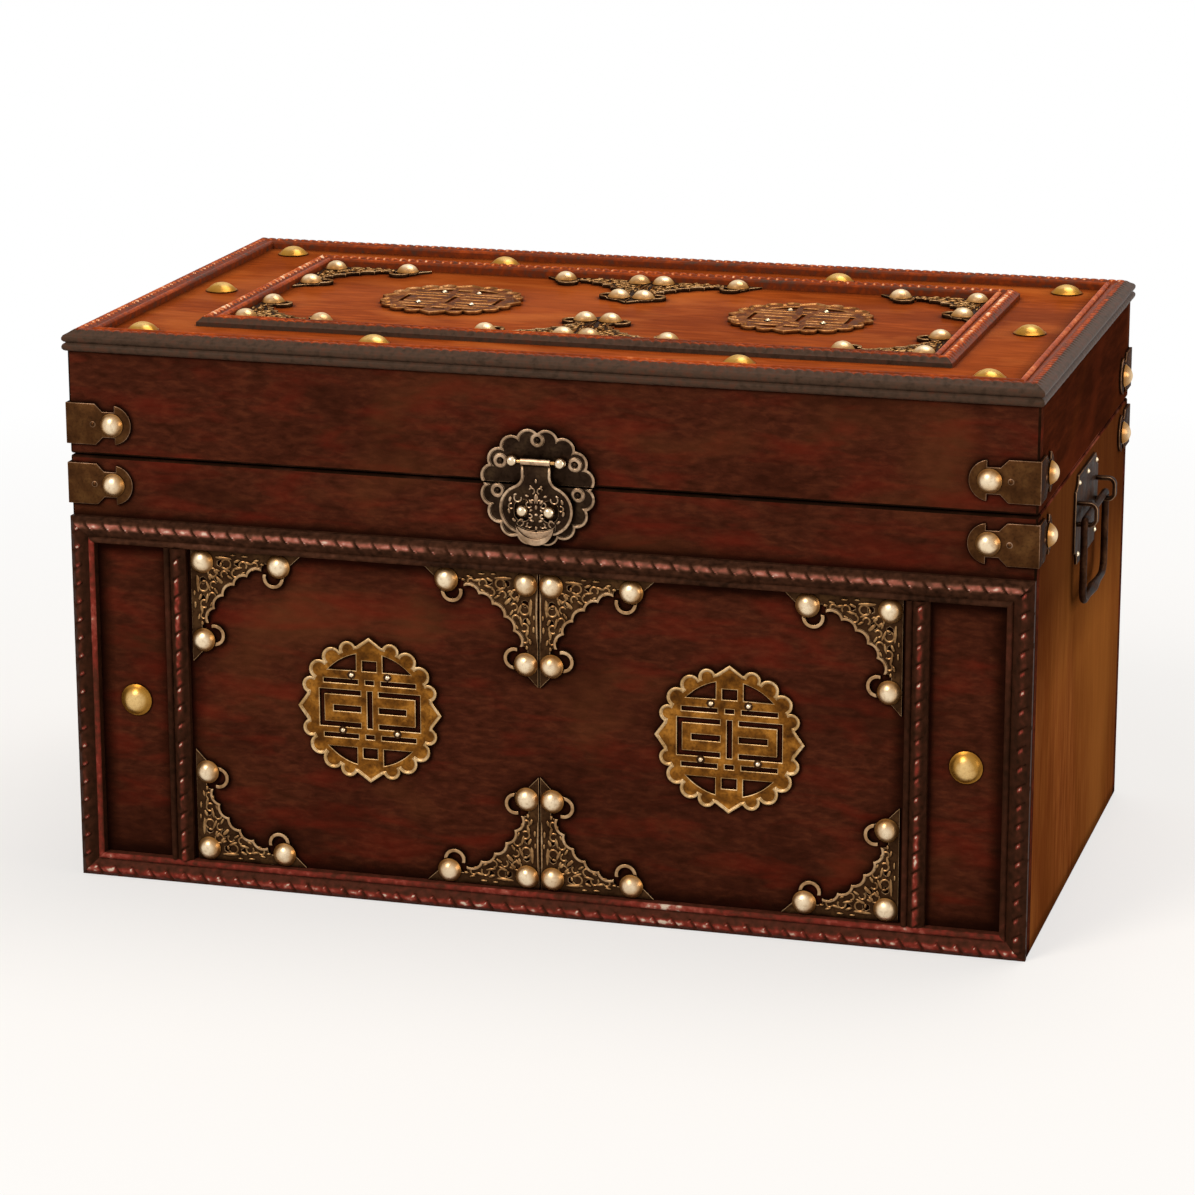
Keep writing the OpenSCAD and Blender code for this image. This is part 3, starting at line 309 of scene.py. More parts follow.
brassLooks = {
    "mount": {"metallic": 0.8, "roughness": 0.46, "bump": 0.5, "grime": (0.6, "#180d06"),
              "tones": ("#2a190d", "#3b2616", "#523820")},
    "relief": {"metallic": 1.0, "roughness": 0.36, "bump": 0.4, "grime": (0.5, "#3a2412"),
               "tones": ("#6e4d2e", "#8f6b45", "#b08b5e")},
    "rim": {"metallic": 1.0, "roughness": 0.36, "bump": 0.3, "grime": (0.5, "#4e3420"),
            "tones": ("#8a6745", "#ab8760", "#c6a680")},
    "medallion": {"metallic": 0.9, "roughness": 0.42, "bump": 0.45, "grime": (0.5, "#2e1b0d"),
                  "stops": [(0.34, "#4a2b0f"), (0.5, "#764918"), (0.66, "#a56e2a")]},
    "medallionRim": {"metallic": 1.0, "roughness": 0.36, "bump": 0.3, "grime": (0.5, "#5e4024"),
                     "tones": ("#a07a48", "#c09c6c", "#dcbe92")},
    "lidMedallion": {"metallic": 0.8, "roughness": 0.45, "bump": 0.45, "grime": (0.5, "#3c200e"),
                     "tones": ("#693a18", "#854f26", "#a06a38"), "edgeTint": "#5a3a20"},
    "lidMedallionRim": {"metallic": 0.9, "roughness": 0.4, "bump": 0.3, "grime": (0.5, "#4e3018"),
                        "tones": ("#8a5a2e", "#a87546", "#c09064"), "edgeTint": "#6a4a30"},
    "strap": {"metallic": 0.85, "roughness": 0.42, "bump": 0.35, "grime": (0.5, "#22130a"),
              "tones": ("#37200f", "#482c16", "#5c3d20")},
    "strapRim": {"metallic": 1.0, "roughness": 0.38, "bump": 0.3, "grime": (0.5, "#33200f"),
                 "tones": ("#5f4430", "#7a5c44", "#957762")},
    "latch": {"metallic": 0.8, "roughness": 0.42, "bump": 0.5, "grime": (0.6, "#100803"),
              "tones": ("#1b110a", "#2c1f16", "#403021")},
    "latchRim": {"metallic": 1.0, "roughness": 0.32, "bump": 0.3, "grime": (0.5, "#3a2819"),
                 "tones": ("#7c6248", "#a4866a", "#ccae8e")},
    # Gilt nails, with a painted highlight on the top of each head and painted shade at its rim,
    # carried on the mesh
    "gilt": {"metallic": 0.75, "roughness": 0.3, "bump": 0.4, "grime": (0.35, "#8c6236"),
             "stops": [(0.05, "#805426"), (0.3, "#9c7040"), (0.6, "#b8946a"), (0.95, "#ecd8b8")],
             "painted": True, "hollow": 0.3, "edgeTint": "#e0c090"},
    "dome": {"metallic": 0.75, "roughness": 0.28, "bump": 0.35, "grime": (0.3, "#8c5e26"),
             "stops": [(0.05, "#80521a"), (0.3, "#9c6e2a"), (0.6, "#aa7e3a"), (0.95, "#dcb97c")],
             "painted": True, "hollow": 0.3, "edgeTint": "#d8b070"},
    # Small parts, polished by use
    "bright": {"metallic": 1.0, "roughness": 0.22, "bump": 0.1, "grime": (0.2, "#94714a"),
               "tones": ("#cdb18c", "#e2ccab", "#f0e2c8"), "hollow": 0.3, "edgeTint": "#f0e0c8"},
    "rod": {"metallic": 1.0, "roughness": 0.26, "bump": 0.15, "grime": (0.3, "#6a4722"),
            "tones": ("#a87b42", "#c99a5e", "#e0b880")},
    # Handles, browned dull but where a hand rubs them
    "handle": {"metallic": 0.5, "roughness": 0.45, "bump": 0.3, "grime": (0.5, "#120904"),
               "tones": ("#22140b", "#382317", "#503523"), "edgeTint": "#3c2818", "specular": 0.1},
    "handleRim": {"metallic": 0.8, "roughness": 0.36, "bump": 0.2, "grime": (0.4, "#2c1c10"),
                  "tones": ("#664a34", "#886a50", "#a88a6c"), "edgeTint": "#5a4430",
                  "specular": 0.2},
}
brass = {key: antiquedBrass(key + "Brass", look) for key, look in brassLooks.items()}


# Card covered with short flocked pile, dark red, matt, with a soft sheen across it. The
# pile is drawn 0.6 mm coarse, 1600 to the metre, so that it shows, and lies in patches of
# 30 mm, 35 to the metre, as a hand has brushed it.
def flockedCard():
    material, tree, shader = newMaterial("flockedCard", {
        "Roughness": 0.95, "Sheen Weight": 0.5, "Sheen Roughness": 0.4, "Specular IOR Level": 0.1,
    })
    coords = addNode(tree, "TexCoord", {}, {}, "Object")
    pile = addNode(tree, "TexNoise", {"Scale": 1600.0, "Detail": 2.0}, {"Vector": coords})
    brushed = addNode(tree, "TexNoise", {"Scale": 35.0, "Detail": 3.0}, {"Vector": coords})
    pileTones = [(0.3, "#4d0d12"), (0.5, "#68141a"), (0.7, "#7f1d22")]
    colour = addNode(tree, "ValToRGB", {"stops": pileTones}, {"Fac": pile})
    colour = tinted(tree, colour, [(brushed, 0.4, 0.7, 1.0, "#5a1116")])
    dressed(tree, shader, colour, pile, 0.5, 0.3)
    return material


flock = flockedCard()
print("materials made")


def camel(node):
    # base_front_board becomes baseFrontBoard
    first, *words = node.split("_")
    return first + "".join(word.capitalize() for word in words)


def finished(bm, name, materials, nodes, smoothAngle=40):
    # Makes the object, which rides on its nodes' body and stands for them
    bmesh.ops.recalc_face_normals(bm, faces=bm.faces)
    for face in bm.faces:
        face.smooth = True
    mesh = bpy.data.meshes.new(name)
    bm.to_mesh(mesh)
    bm.free()
    mesh.set_sharp_from_angle(angle=math.radians(smoothAngle))
    piece = bpy.data.objects.new(name, mesh)
    bpy.context.scene.collection.objects.link(piece)
    for material in materials:
        mesh.materials.append(material)
    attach(piece, bodyOf[nodes[0]])
    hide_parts(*nodes)


def copyOf(node):
    # A merged copy of a CAD node's mesh
    bm = bmesh.new()
    bm.from_mesh(frame["nodes"][node].data)
    bmesh.ops.remove_doubles(bm, verts=bm.verts, dist=weld)
    return bm


def blockOf(node):
    # A plain block of the CAD node's size, in its place
    low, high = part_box(node)
    bm = bmesh.new()
    bmesh.ops.create_cube(bm, size=1)
    bmesh.ops.scale(bm, vec=high - low, verts=bm.verts)
    bmesh.ops.translate(bm, vec=(high + low) / 2, verts=bm.verts)
    return bm


def add(bm, small, matrix, material=None):
    # Adds a small bmesh, placed by the matrix, to a larger one
    placed = small.copy()
    bmesh.ops.transform(placed, matrix=matrix, verts=placed.verts)
    if matrix.determinant() < 0:
        bmesh.ops.reverse_faces(placed, faces=placed.faces)
    if material is not None:
        for face in placed.faces:
            face.material_index = material
    carrier = bpy.data.meshes.new("carrier")
    placed.to_mesh(carrier)
    placed.free()
    bm.from_mesh(carrier)
    bpy.data.meshes.remove(carrier)


def softened(bm, edges, width, segments=2):
    return bmesh.ops.bevel(
        bm, geom=edges, offset=width, offset_type="OFFSET", affect="EDGES", segments=segments,
        profile=0.5, material=-1, clamp_overlap=False,
    )["faces"]


def islands(bm):
    # The separate solids of a mesh, as lists of vertices
    left, found = set(bm.verts), []
    while left:
        group, reach = [], [left.pop()]
        while reach:
            vert = reach.pop()
            group.append(vert)
            for edge in vert.link_edges:
                other = edge.other_vert(vert)
                if other in left:
                    left.remove(other)
                    reach.append(other)
        found.append(group)
    return found


def solidBoxes(node):
    # Lowest and highest corner of each solid of a CAD node
    bm = copyOf(node)
    boxes = []
    for group in islands(bm):
        axes = [[v.co[i] for v in group] for i in range(3)]
        boxes.append((Vector([min(a) for a in axes]), Vector([max(a) for a in axes])))
    bm.free()
    return sorted(boxes, key=lambda b: tuple(round(c, 4) for c in b[0]))


boxLow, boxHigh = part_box("base_front_board")
frontY, sideX, seamZ = boxLow.y, boxHigh.x, boxHigh.z
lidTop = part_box("lid_top_panel")[1].z


# Boards: the outer edges of the base and of the lid are eased by hand and rubbed
boardLook = {"ease": 0.8 * mm, "segments": 3, "touching": 0.01 * mm}
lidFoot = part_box("lid_front_board")[0].z


def board(node, material, edgeMaterial, frontMaterial=None, sideMaterial=None):
    bm = blockOf(node)
    shell = {0: (-sideX, sideX), 1: (frontY, -frontY), 2: (0, seamZ, lidFoot, lidTop)}

    def outerPlanes(edge):
        middle = (edge.verts[0].co + edge.verts[1].co) / 2
        near = boardLook["touching"]
        return sum(any(abs(middle[i] - c) < near for c in shell[i]) for i in range(3))

    outer = [e for e in bm.edges if outerPlanes(e) >= 2]
    for face in softened(bm, outer, boardLook["ease"], boardLook["segments"]):
        face.material_index = 1
    for face in bm.faces:
        if face.material_index == 0 and frontMaterial:
            across, along = abs(face.normal.x) > 0.5, abs(face.normal.y) > 0.5
            face.material_index = 2 if along else 3 if across else 0
    extra = [frontMaterial, sideMaterial] if frontMaterial else []
    finished(bm, camel(node), [material, edgeMaterial, *extra], [node])


for node, material, edge in (
    ("base_front_board", frontWood, darkEdgeWood),
    ("base_back_board", frontWood, darkEdgeWood),
    ("base_left_board", sideWood, rubbedAndLitEdgeWood),
    ("base_right_board", sideWood, rubbedAndLitEdgeWood),
    ("lid_front_board", frontWood, darkEdgeWood),
    ("lid_back_board", frontWood, darkEdgeWood),
    ("lid_left_board", lidSideWood, rubbedAndLitEdgeWood),
    ("lid_right_board", lidSideWood, rubbedAndLitEdgeWood),
):
    board(node, material, edge)
board("base_bottom_panel", bareWood, bareWood)
board("lid_top_panel", lidWood, lidSideWood, frontWood, lidSideWood)


# Linings: flocked card trays with folded, slightly round corners
liningLook = {"thickness": 1 * mm, "fold": 2 * mm, "segments": 4}


def lining(node, name, way):
    # The tray opens upwards where way is 1, downwards where it is -1
    bm = blockOf(node)
    mouth = [f for f in bm.faces if f.normal.z * way > 0.9]
    bmesh.ops.delete(bm, geom=mouth, context="FACES_ONLY")
    folds = [e for e in bm.edges if len(e.link_faces) == 2]
    softened(bm, folds, liningLook["fold"], liningLook["segments"])
    bmesh.ops.recalc_face_normals(bm, faces=bm.faces)
    bmesh.ops.solidify(bm, geom=bm.faces, thickness=liningLook["thickness"])
    finished(bm, name, [flock], [node])


lining("base_lining", "baseFlockedLining", 1)
lining("lid_lining", "lidFlockedLining", -1)
print("boards and linings made")


# Carved mouldings. A length is swept along +X with its outer edge on y = 0, carved,
# cut to its mitres and then turned into place. Lengths are in mm.
carving = {
    # the outline: a crest, a bead inside it and, on an edge that overhangs, a reed below
    "crest": 2.9, "bead": 1.1, "reed": 1.5, "shoulder": 0.7, "dip": 0.1, "fullness": 0.75,
    "spans": 13, "reedArc": (-78, -50, -20, 12, 45, 75), "beadArc": (20, 55, 90, 125, 160, 180),
    # the cuts: their spacing, width and depth, how they lean and bend, where they end
    "pitch": 6.8, "groove": 1.7, "depth": 0.9, "slant": 0.7, "bend": 0.1, "from": 0.3,
    "reach": 2.1, "runOut": 0.9, "swell": 0.28, "lip": 1.1, "floor": 0.6, "step": 0.45,
    # unevenness left by the tool on the plain sides
    "topGrit": 0.08, "sideGrit": 0.12,
}
# Painted wear and painted light, from 0 dark to 1 bare: how long a worn patch is, how coarse
# its grit, the ground between the cuts, and the crests and tips of the cuts
wearing = {
    "patch": 26, "gritLong": 2.3, "gritWide": 2.0, "grit": 0.14, "ground": 0.14,
    "crestWide": 1.25, "crestGrit": 0.16, "tip": 0.9, "tipGrit": 0.3, "tipBack": 0.55,
    "beadPatch": 0.25, "dull": 0.12,
}


def smooth(value):
    value = max(0.0, min(1.0, value))
    return value * value * (3 - 2 * value)


def carvedOutline(shape):
    # Points (across, up) from the outer foot to the inner foot, closed below
    width, low, high, proud, drop = shape.values()
    bead, crest, reed = carving["bead"], proud + carving["crest"], carving["reed"]
    fall = width - 2 * bead
    points = []
    if drop:
        for radius, middle in ((reed, reed - drop), (proud, 0.0)):
            arc = [math.radians(a) for a in carving["reedArc"]]
            points += [(proud - radius * math.cos(a), middle + radius * math.sin(a)) for a in arc]
        points[0] = (points[0][0], -drop)
    else:
        points += [(0, 0), (0, low - carving["shoulder"])]
    start, rest = points[-1]
    for i in range(1, carving["spans"] + 1):
        across = start + (fall - start) * i / carving["spans"]
        if across < crest:
            rise, foot = smooth((across - start) / (crest - start)), rest
        else:
            rise, foot = smooth((fall - across) / (fall - crest)), low - carving["dip"]
        points.append((across, foot + (high - foot) * rise ** carving["fullness"]))
    arc = [math.radians(a) for a in carving["beadArc"]]
    points += [(width - bead - bead * math.cos(a), low + bead * math.sin(a)) for a in arc]
    points.append((width, 0))
    if drop:
        points += [(proud, 0), (proud, -drop)]
    return points


def carvedLength(length, shape, seed, look, mitred=True):
    bm = bmesh.new()
    wear = bm.verts.layers.float.new("wear")
    outline = carvedOutline(shape)
    outline.append(outline[0])
    steps = round(length / carving["step"])
    bmesh.ops.create_grid(bm, x_segments=steps, y_segments=len(outline) - 1, size=0.5)
    for vert in bm.verts:
        across, up = outline[round((vert.co.y + 0.5) * (len(outline) - 1))]
        vert.co = Vector(((vert.co.x + 0.5) * length, across, up)) * mm
    bmesh.ops.remove_doubles(bm, verts=bm.verts, dist=weld)
    width, low, high, proud, _ = shape.values()
    crest, fall = proud + carving["crest"], width - 2 * carving["bead"]
    pitch, depth = look.get("pitch", carving["pitch"]), look.get("depth", carving["depth"])
    groove = carving["groove"] * pitch / carving["pitch"]
    for vert in bm.verts:
        x, y, z = vert.co / mm
        patch = noise.noise(Vector((x / wearing["patch"], seed * 7.1, 0.3)))
        spot = Vector((x / wearing["gritLong"], y / wearing["gritWide"], seed * 3.7 + z))
        grit = noise.noise(spot)
        wornAndLit = look.get("ground", wearing["ground"]) + wearing["grit"] * grit
        offset = y - crest
        if z > low - carving["from"] and y < fall:
            reach = smooth((carving["reach"] - abs(offset)) / carving["runOut"])
            lean = carving["slant"] * offset + carving["bend"] * offset * offset
            phase = (x + lean) / pitch + seed * 0.37
            side = (phase - math.floor(phase) - 0.5) * pitch
            cut = smooth(carving["lip"] - abs(side) / (groove / 2 + 0.25 * grit)) * reach
            swell = 0.5 - 0.5 * math.cos(2 * math.pi * side / pitch)
            top = smooth((z - low) / (high - low) * 1.3 - 0.3)
            sunk = depth * (cut + carving["swell"] * (1 - swell) * top)
            vert.co.z -= min(high - carving["floor"], sunk) * mm
            # The crest: worn red, and brighter as a painted highlight on the lengths that face the
            # light
            segment = smooth(1.3 - abs(offset) / wearing["crestWide"]) * (1 - cut)
            wornAndLit += segment * (look["rub"] + look["patch"] * patch + wearing["crestGrit"] * grit)
            # a bare tip at one end of each cut
            aside = abs(offset - look.get("tipPlace", 0.9)) / look.get("tipWide", 0.7)
            along = abs(side + groove * wearing["tipBack"]) / look.get("tipLong", 0.7)
            speck = smooth(1.25 - along) * smooth(1.3 - aside)
            wornAndLit = max(wornAndLit, speck * (wearing["tip"] + wearing["tipGrit"] * grit))
        else:
            if z > 0.5:
                vert.co += Vector((0, 0, carving["topGrit"] * grit * mm))
            # The inner bead: worn red, lit or darkened as painted light by its value in the table
            if y >= fall and z > low + 0.3:
                wornAndLit += look["bead"] + wearing["beadPatch"] * patch
            if z < 0.2 and y < proud:
                vert.co.y += carving["sideGrit"] * grit * mm
        # Painted sheen: the side marked in the table is painted the grey of a sheen
        if offset * look.get("dull", 0) > 0.9:
            wornAndLit = wearing["dull"] + 0.05 * grit + 0.04 * patch
        vert[wear] = max(0.0, min(1.0, wornAndLit))
    cuts = [((0, 0, 0), (-1, 1, 0)), ((length * mm, 0, 0), (1, 1, 0))] if mitred else []
    for place, normal in cuts:
        bmesh.ops.bisect_plane(
            bm, geom=bm.verts[:] + bm.edges[:] + bm.faces[:], plane_co=place,
            plane_no=Vector(normal).normalized(), clear_outer=True, dist=weld,
        )
    bmesh.ops.holes_fill(bm, edges=[e for e in bm.edges if e.is_boundary], sides=0)
    return bm


def railPlace(side, width, depth):
    # Turns a length laid along +X into one side of a rectangle centred on the origin
    turn = {"front": 0, "right": 90, "back": 180, "left": -90}[side]
    across, along = (width, depth) if side in ("front", "back") else (depth, width)
    shift = Matrix.Translation((-across / 2, -along / 2, 0))
    return Matrix.Rotation(math.radians(turn), 4, "Z") @ shift


def onFront(x=0.0, z=0.0, out=0.0):
    # A place on the front board, with its own Z pointing out of it
    return Matrix.Translation((x, frontY - out, z)) @ Matrix.Rotation(math.radians(90), 4, "X")


onLid = Matrix.Translation((0, 0, lidTop))


def rail(node, name, side, ground, width, depth, shape, material, seed):
    # One side of a frame of mouldings, width by depth, on the ground plane
    length = (width if side in ("front", "back") else depth) / mm
    bm = carvedLength(length, shape, seed, wearAndLightTable[name])
    bmesh.ops.transform(bm, matrix=ground @ railPlace(side, width, depth), verts=bm.verts)
    finished(bm, name + "Moulding", [material], [node], 50)


# How far each length is worn, and how much painted light it carries by how it faces the
# light: its crest, whose red is partly a painted highlight, how patchily, and its inner
# bead, painted dark as shade on the top rail and lit as a glossy highlight on the left stile.
# The bottom rail's ground is raised as painted light against its shade. "tip" values place
# the bare tips, and where the sheen value is -1 the outer side is painted a grey sheen.
frontTips = {"tipPlace": 0.3, "tipWide": 1.0, "tipLong": 0.95}
lidWear = {"ground": 0.36, "depth": 0.45, "pitch": 3.4, "patch": 0.2}
wearAndLightTable = {
    "frontTop": {"rub": 0.5, "patch": 0.3, "bead": 0.02},
    "frontBottom": {"rub": 0.3, "patch": 0.15, "bead": 0.2, "ground": 0.42},
    "frontLeft": {**frontTips, "rub": 0.14, "patch": 0.15, "bead": 0.42},
    "frontRight": {**frontTips, "rub": 0.16, "patch": 0.2, "bead": 0.1},
    "strips": {**frontTips, "rub": 0.34, "patch": 0.55, "bead": 0.02, "tipPlace": 0.2},
    "lidEdgeFront": {**lidWear, "rub": 0.1, "bead": 0.15, "dull": -1},
    "lidEdgeBack": {**lidWear, "rub": 0.1, "bead": 0.05},
    "lidEdgeLeft": {**lidWear, "rub": 0.2, "bead": 0.05},
    "lidEdgeRight": {**lidWear, "rub": 0.1, "bead": 0.25, "dull": -1},
    "lidFrameFront": {**lidWear, "rub": 0.16, "bead": 0.1, "dull": -1},
    "lidFrameBack": {**lidWear, "rub": 0.16, "bead": 0.05},
    "lidFrameLeft": {**lidWear, "rub": 0.36, "bead": 0.15, "depth": 0.7},
    "lidFrameRight": {**lidWear, "rub": 0.44, "bead": 0.25, "depth": 0.7},
}
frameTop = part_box("frame_top_rail")[1].z
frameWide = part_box("frame_top_rail")[1].x * 2
mouldWide = (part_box("frame_bottom_rail")[1].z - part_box("frame_bottom_rail")[0].z) / mm
# Outlines, in this order: width, low and high points, overhang and drop below the lid's top
frameShape = {"width": mouldWide, "low": 3.0, "high": 4.8, "proud": 0.0, "drop": 0.0}
stripShape = {**frameShape, "width": 8.0}
edgeShape = {"width": 10.5, "low": 1.8, "high": 3.1, "proud": 1.5, "drop": 4.6}
innerShape = {"width": 8.0, "low": 2.2, "high": 3.6, "proud": 0.0, "drop": 0.0}

for seed, (side, node, name, material) in enumerate((
    ("back", "frame_top_rail", "frontTop", topRailLitWood),
    ("front", "frame_bottom_rail", "frontBottom", mouldingWood),
    ("left", "frame_left_stile", "frontLeft", mouldingWood),
    ("right", "frame_right_stile", "frontRight", mouldingWood),
)):
    rail(node, name, side, onFront(0, frameTop / 2), frameWide, frameTop, frameShape, material, seed)

stripLow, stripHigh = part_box("frame_upright_strips")
stripLong = (stripHigh.z - stripLow.z) / mm
upright = Matrix.Rotation(math.radians(90), 4, "Z")
bm = bmesh.new()
for seed, outer in ((4, stripHigh.x), (5, stripShape["width"] * mm - stripHigh.x)):
    strip = carvedLength(stripLong, stripShape, seed, wearAndLightTable["strips"], mitred=False)
    add(bm, strip, onFront(outer, stripLow.z) @ upright)
    strip.free()
finished(bm, "frontUprightStrips", [mouldingWood], ["frame_upright_strips"], 50)

edgeLow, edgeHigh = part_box("lid_edge_front")
edgeWide, edgeDeep = edgeHigh.x * 2, -edgeLow.y * 2
innerWide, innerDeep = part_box("lid_frame_front")[1].x * 2, -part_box("lid_frame_front")[0].y * 2
for seed, side in enumerate(("front", "back", "left", "right")):
    for node, width, depth, shape, first in (
        ("lid_edge_" + side, edgeWide, edgeDeep, edgeShape, 6),
        ("lid_frame_" + side, innerWide, innerDeep, innerShape, 10),
    ):
        rail(node, camel(node), side, onLid, width, depth, shape, lidMouldingWood, first + seed)
print("mouldings carved")


# Stamped plates: copies of the CAD plates with eased edges, dark faces, and bright rims
# and edges. "metals" are the plate, its bright parts and what is laid on it; "ease" is mm.
def stamped(node, ease, metals, axis=None, rimLevel=0.0, extra=None, below=None):
    bm = copyOf(node)
    sharp = math.radians(35)
    edges = [e for e in bm.edges if e.is_manifold and e.calc_face_angle() > sharp]
    if below is not None:
        edges = [e for e in edges if max(v.co.z for v in e.verts) < below]
    for face in softened(bm, edges, ease * mm):
        face.material_index = 1
    if axis is not None:
        for face in bm.faces:
            if face.calc_center_median().dot(axis) > rimLevel and face.normal.dot(axis) > 0.5:
                face.material_index = 1
    if extra:
        extra(bm)
    finished(bm, camel(node), [brass[metal] for metal in metals], [node], 50)


plate = {"thickness": 1.0 * mm, "rim": 0.5 * mm}
rimAbove = plate["thickness"] + plate["rim"] / 2
# Each decorated face: its place, its outward side, how far out the plates' rims begin
outFront = Vector((0, -1, 0))
faces = {
    "front": (onFront(), outFront, -frontY + rimAbove),
    "lid": (onLid, Vector((0, 0, 1)), lidTop + rimAbove),
}


# Lumps and curls take half sizes and radii in mm, and turns in degrees
def lump(bm, place, size, turn=0, material=1):
    # A leaf-shaped swelling on a plate, in the plane of place
    small = bmesh.new()
    bmesh.ops.create_uvsphere(small, u_segments=8, v_segments=5, radius=1)
    turned = place @ Matrix.Rotation(math.radians(turn), 4, "Z")
    add(bm, small, turned @ Matrix.Diagonal((*[s * mm for s in size], 1)), material)
    small.free()


def curl(bm, place, radius, thick, start, sweep, material):
    # A stem that bends along an arc, round in section, with closed ends
    small = bmesh.new()
    bmesh.ops.create_circle(small, cap_ends=True, segments=6, radius=thick * mm)
    upended = Matrix.Rotation(math.radians(90), 3, "X")
    bmesh.ops.rotate(small, verts=small.verts, cent=(0, 0, 0), matrix=upended)
    bmesh.ops.translate(small, verts=small.verts, vec=(radius * mm, 0, 0))
    angle = math.radians(sweep)
    bmesh.ops.spin(
        small, geom=small.verts[:] + small.edges[:] + small.faces[:], cent=(0, 0, 0),
        axis=(0, 0, 1), angle=angle, steps=max(4, round(angle / 0.3)), use_duplicate=False,
    )
    bmesh.ops.recalc_face_normals(small, faces=small.faces)
    add(bm, small, place @ Matrix.Rotation(math.radians(start), 4, "Z"), material)
    small.free()


# The relief of one corner mount: stems and leaves that grow from the corner along both legs
mountLook = {
    # leaves: places in mm along and across a leg, length, breadth, turn in degrees
    "leaves": [
        (12.6, 2.6, 3.4, 0.8, 3), (17.6, 3.4, 1.6, 0.7, -24), (9.6, 7.8, 1.5, 0.8, 46),
        (13.4, 6.6, 2.0, 0.7, 24), (17.9, 6.0, 2.0, 0.65, -12), (22.0, 3.9, 1.8, 0.7, 12),
        (25.0, 2.8, 1.4, 0.6, -14), (10.9, 10.7, 1.8, 0.7, 44), (14.9, 9.5, 1.6, 0.6, 30),
        (7.2, 10.2, 1.2, 0.6, 68), (20.6, 1.5, 1.5, 0.55, 0), (16.2, 1.3, 1.2, 0.5, 0),
        (27.2, 4.0, 1.0, 0.6, 0), (20.0, 7.6, 1.2, 0.55, -24), (23.6, 6.2, 1.1, 0.5, -10),
        (11.6, 5.0, 1.1, 0.6, 100),
    ],
    # stems: place, radius, then start and sweep of the arc in degrees
    "curls": [
        (13.6, 4.7, 1.7, 200, 250), (20.0, 4.9, 1.4, 160, 240), (8.2, 8.2, 1.6, 230, 260),
        (17.0, 8.0, 1.3, 30, 230), (24.4, 4.6, 1.1, 200, 220), (12.8, 8.6, 1.2, 120, 230),
    ],
    "height": 0.6, "stem": 0.36, "lift": 0.05, "ease": 0.14,
    # a mount's nails stand this near its face, and a ridge where two mounts meet in the
    # middle: place and half sizes
    "near": 8, "middle": 8, "ridgePlace": (0.45, 16), "ridge": (0.4, 10, 0.5),
}


def mountRelief():
    bm = bmesh.new()
    level = plate["thickness"]
    swapLegs = Matrix(((0, 1, 0, 0), (1, 0, 0, 0), (0, 0, 1, 0), (0, 0, 0, 1)))
    for flip in (Matrix.Identity(4), swapLegs):
        for x, y, long, broad, turn in mountLook["leaves"]:
            spot = flip @ Matrix.Translation((x * mm, y * mm, level))
            lump(bm, spot, (long, broad, mountLook["height"]), turn, 2)
        for x, y, radius, start, sweep in mountLook["curls"]:
            spot = flip @ Matrix.Translation((x * mm, y * mm, level + mountLook["lift"] * mm))
            curl(bm, spot, radius, mountLook["stem"], start, sweep, 2)
    return bm


def mountSites(node, nails, face):
    # Each mount's outer corner, the one nearest its nails, with its legs along +X and +Y
    inverse = face.inverted()
    centres = [inverse @ ((low + high) / 2) for low, high in solidBoxes(nails)]
    near = mountLook["near"] * mm
    sites = []
    for box in solidBoxes(node):
        ends = [inverse @ end for end in box]
        low = Vector([min(e[i] for e in ends) for i in range(3)])
        high = Vector([max(e[i] for e in ends) for i in range(3)])
        held = [
            Vector((c.x, c.y, 0)) for c in centres
            if low.x < c.x < high.x and low.y < c.y < high.y and abs(c.z) < near
        ]
        corners = [Vector((x, y, 0)) for x in (low.x, high.x) for y in (low.y, high.y)]
        corner = min(corners, key=lambda c: sum((c - nail).length for nail in held))
        legs = (1 if corner.x == low.x else -1, 1 if corner.y == low.y else -1)
        sites.append(face @ Matrix.Translation(corner) @ Matrix.Diagonal((*legs, 1, 1)))
    return sites


relief = mountRelief()
for side, nails in (("front", "base_round_nails"), ("lid", "lid_round_nails")):
    face, out, level = faces[side]
    node = side + "_corner_mounts"
    sites = mountSites(node, nails, face)

    def addRelief(bm, sites=sites):
        along, across = mountLook["ridgePlace"]
        for site in sites:
            add(bm, relief, site)
            if abs(site.translation.x) < mountLook["middle"] * mm:
                ridge = Matrix.Translation((along * mm, across * mm, plate["thickness"]))
                lump(bm, site @ ridge, mountLook["ridge"])

    stamped(node, mountLook["ease"], ("mount", "rim", "relief"), out, level, addRelief)

# Medallions: the pins are driven home in punched hollows that keep their dark polish
medallionLook = {
    "ease": 0.26, "hollow": (1.7, 1.7, 0.14),
    "front": ("medallion", "medallionRim", "mount"),
    "lid": ("lidMedallion", "lidMedallionRim", "mount"),
}
for side in ("front", "lid"):
    face, out, level = faces[side]
    spots = []
    for low, high in solidBoxes(side + "_medallion_pins"):
        middle = face.inverted() @ ((low + high) / 2)
        spots.append(face @ Matrix.Translation((middle.x, middle.y, plate["thickness"])))

    def addHollows(bm, spots=spots):
        for spot in spots:
            lump(bm, spot, medallionLook["hollow"], 0, 2)

    stamped(side + "_medallions", medallionLook["ease"], medallionLook[side], out, level, addHollows)

strapLook = {"ease": 0.2, "metals": ("strap", "strapRim")}
for side in ("base", "lid"):
    stamped(side + "_corner_straps", strapLook["ease"], strapLook["metals"])
print("stamped plates made")


# Latch: cast plates with rosettes round their pins, and the hasp with its engraved face
latchLook = {
    "thickness": 1.2 * mm, "rim": 0.5 * mm, "metals": ("latch", "latchRim"),
    "plateEase": 0.18, "haspEase": 0.15, "smallEase": 0.1, "pinEase": 0.05,
}
latchLevel = -frontY + latchLook["thickness"] + latchLook["rim"] / 2
for node in ("latch_lower_plate", "latch_upper_plate"):
    stamped(node, latchLook["plateEase"], latchLook["metals"], outFront, latchLevel)

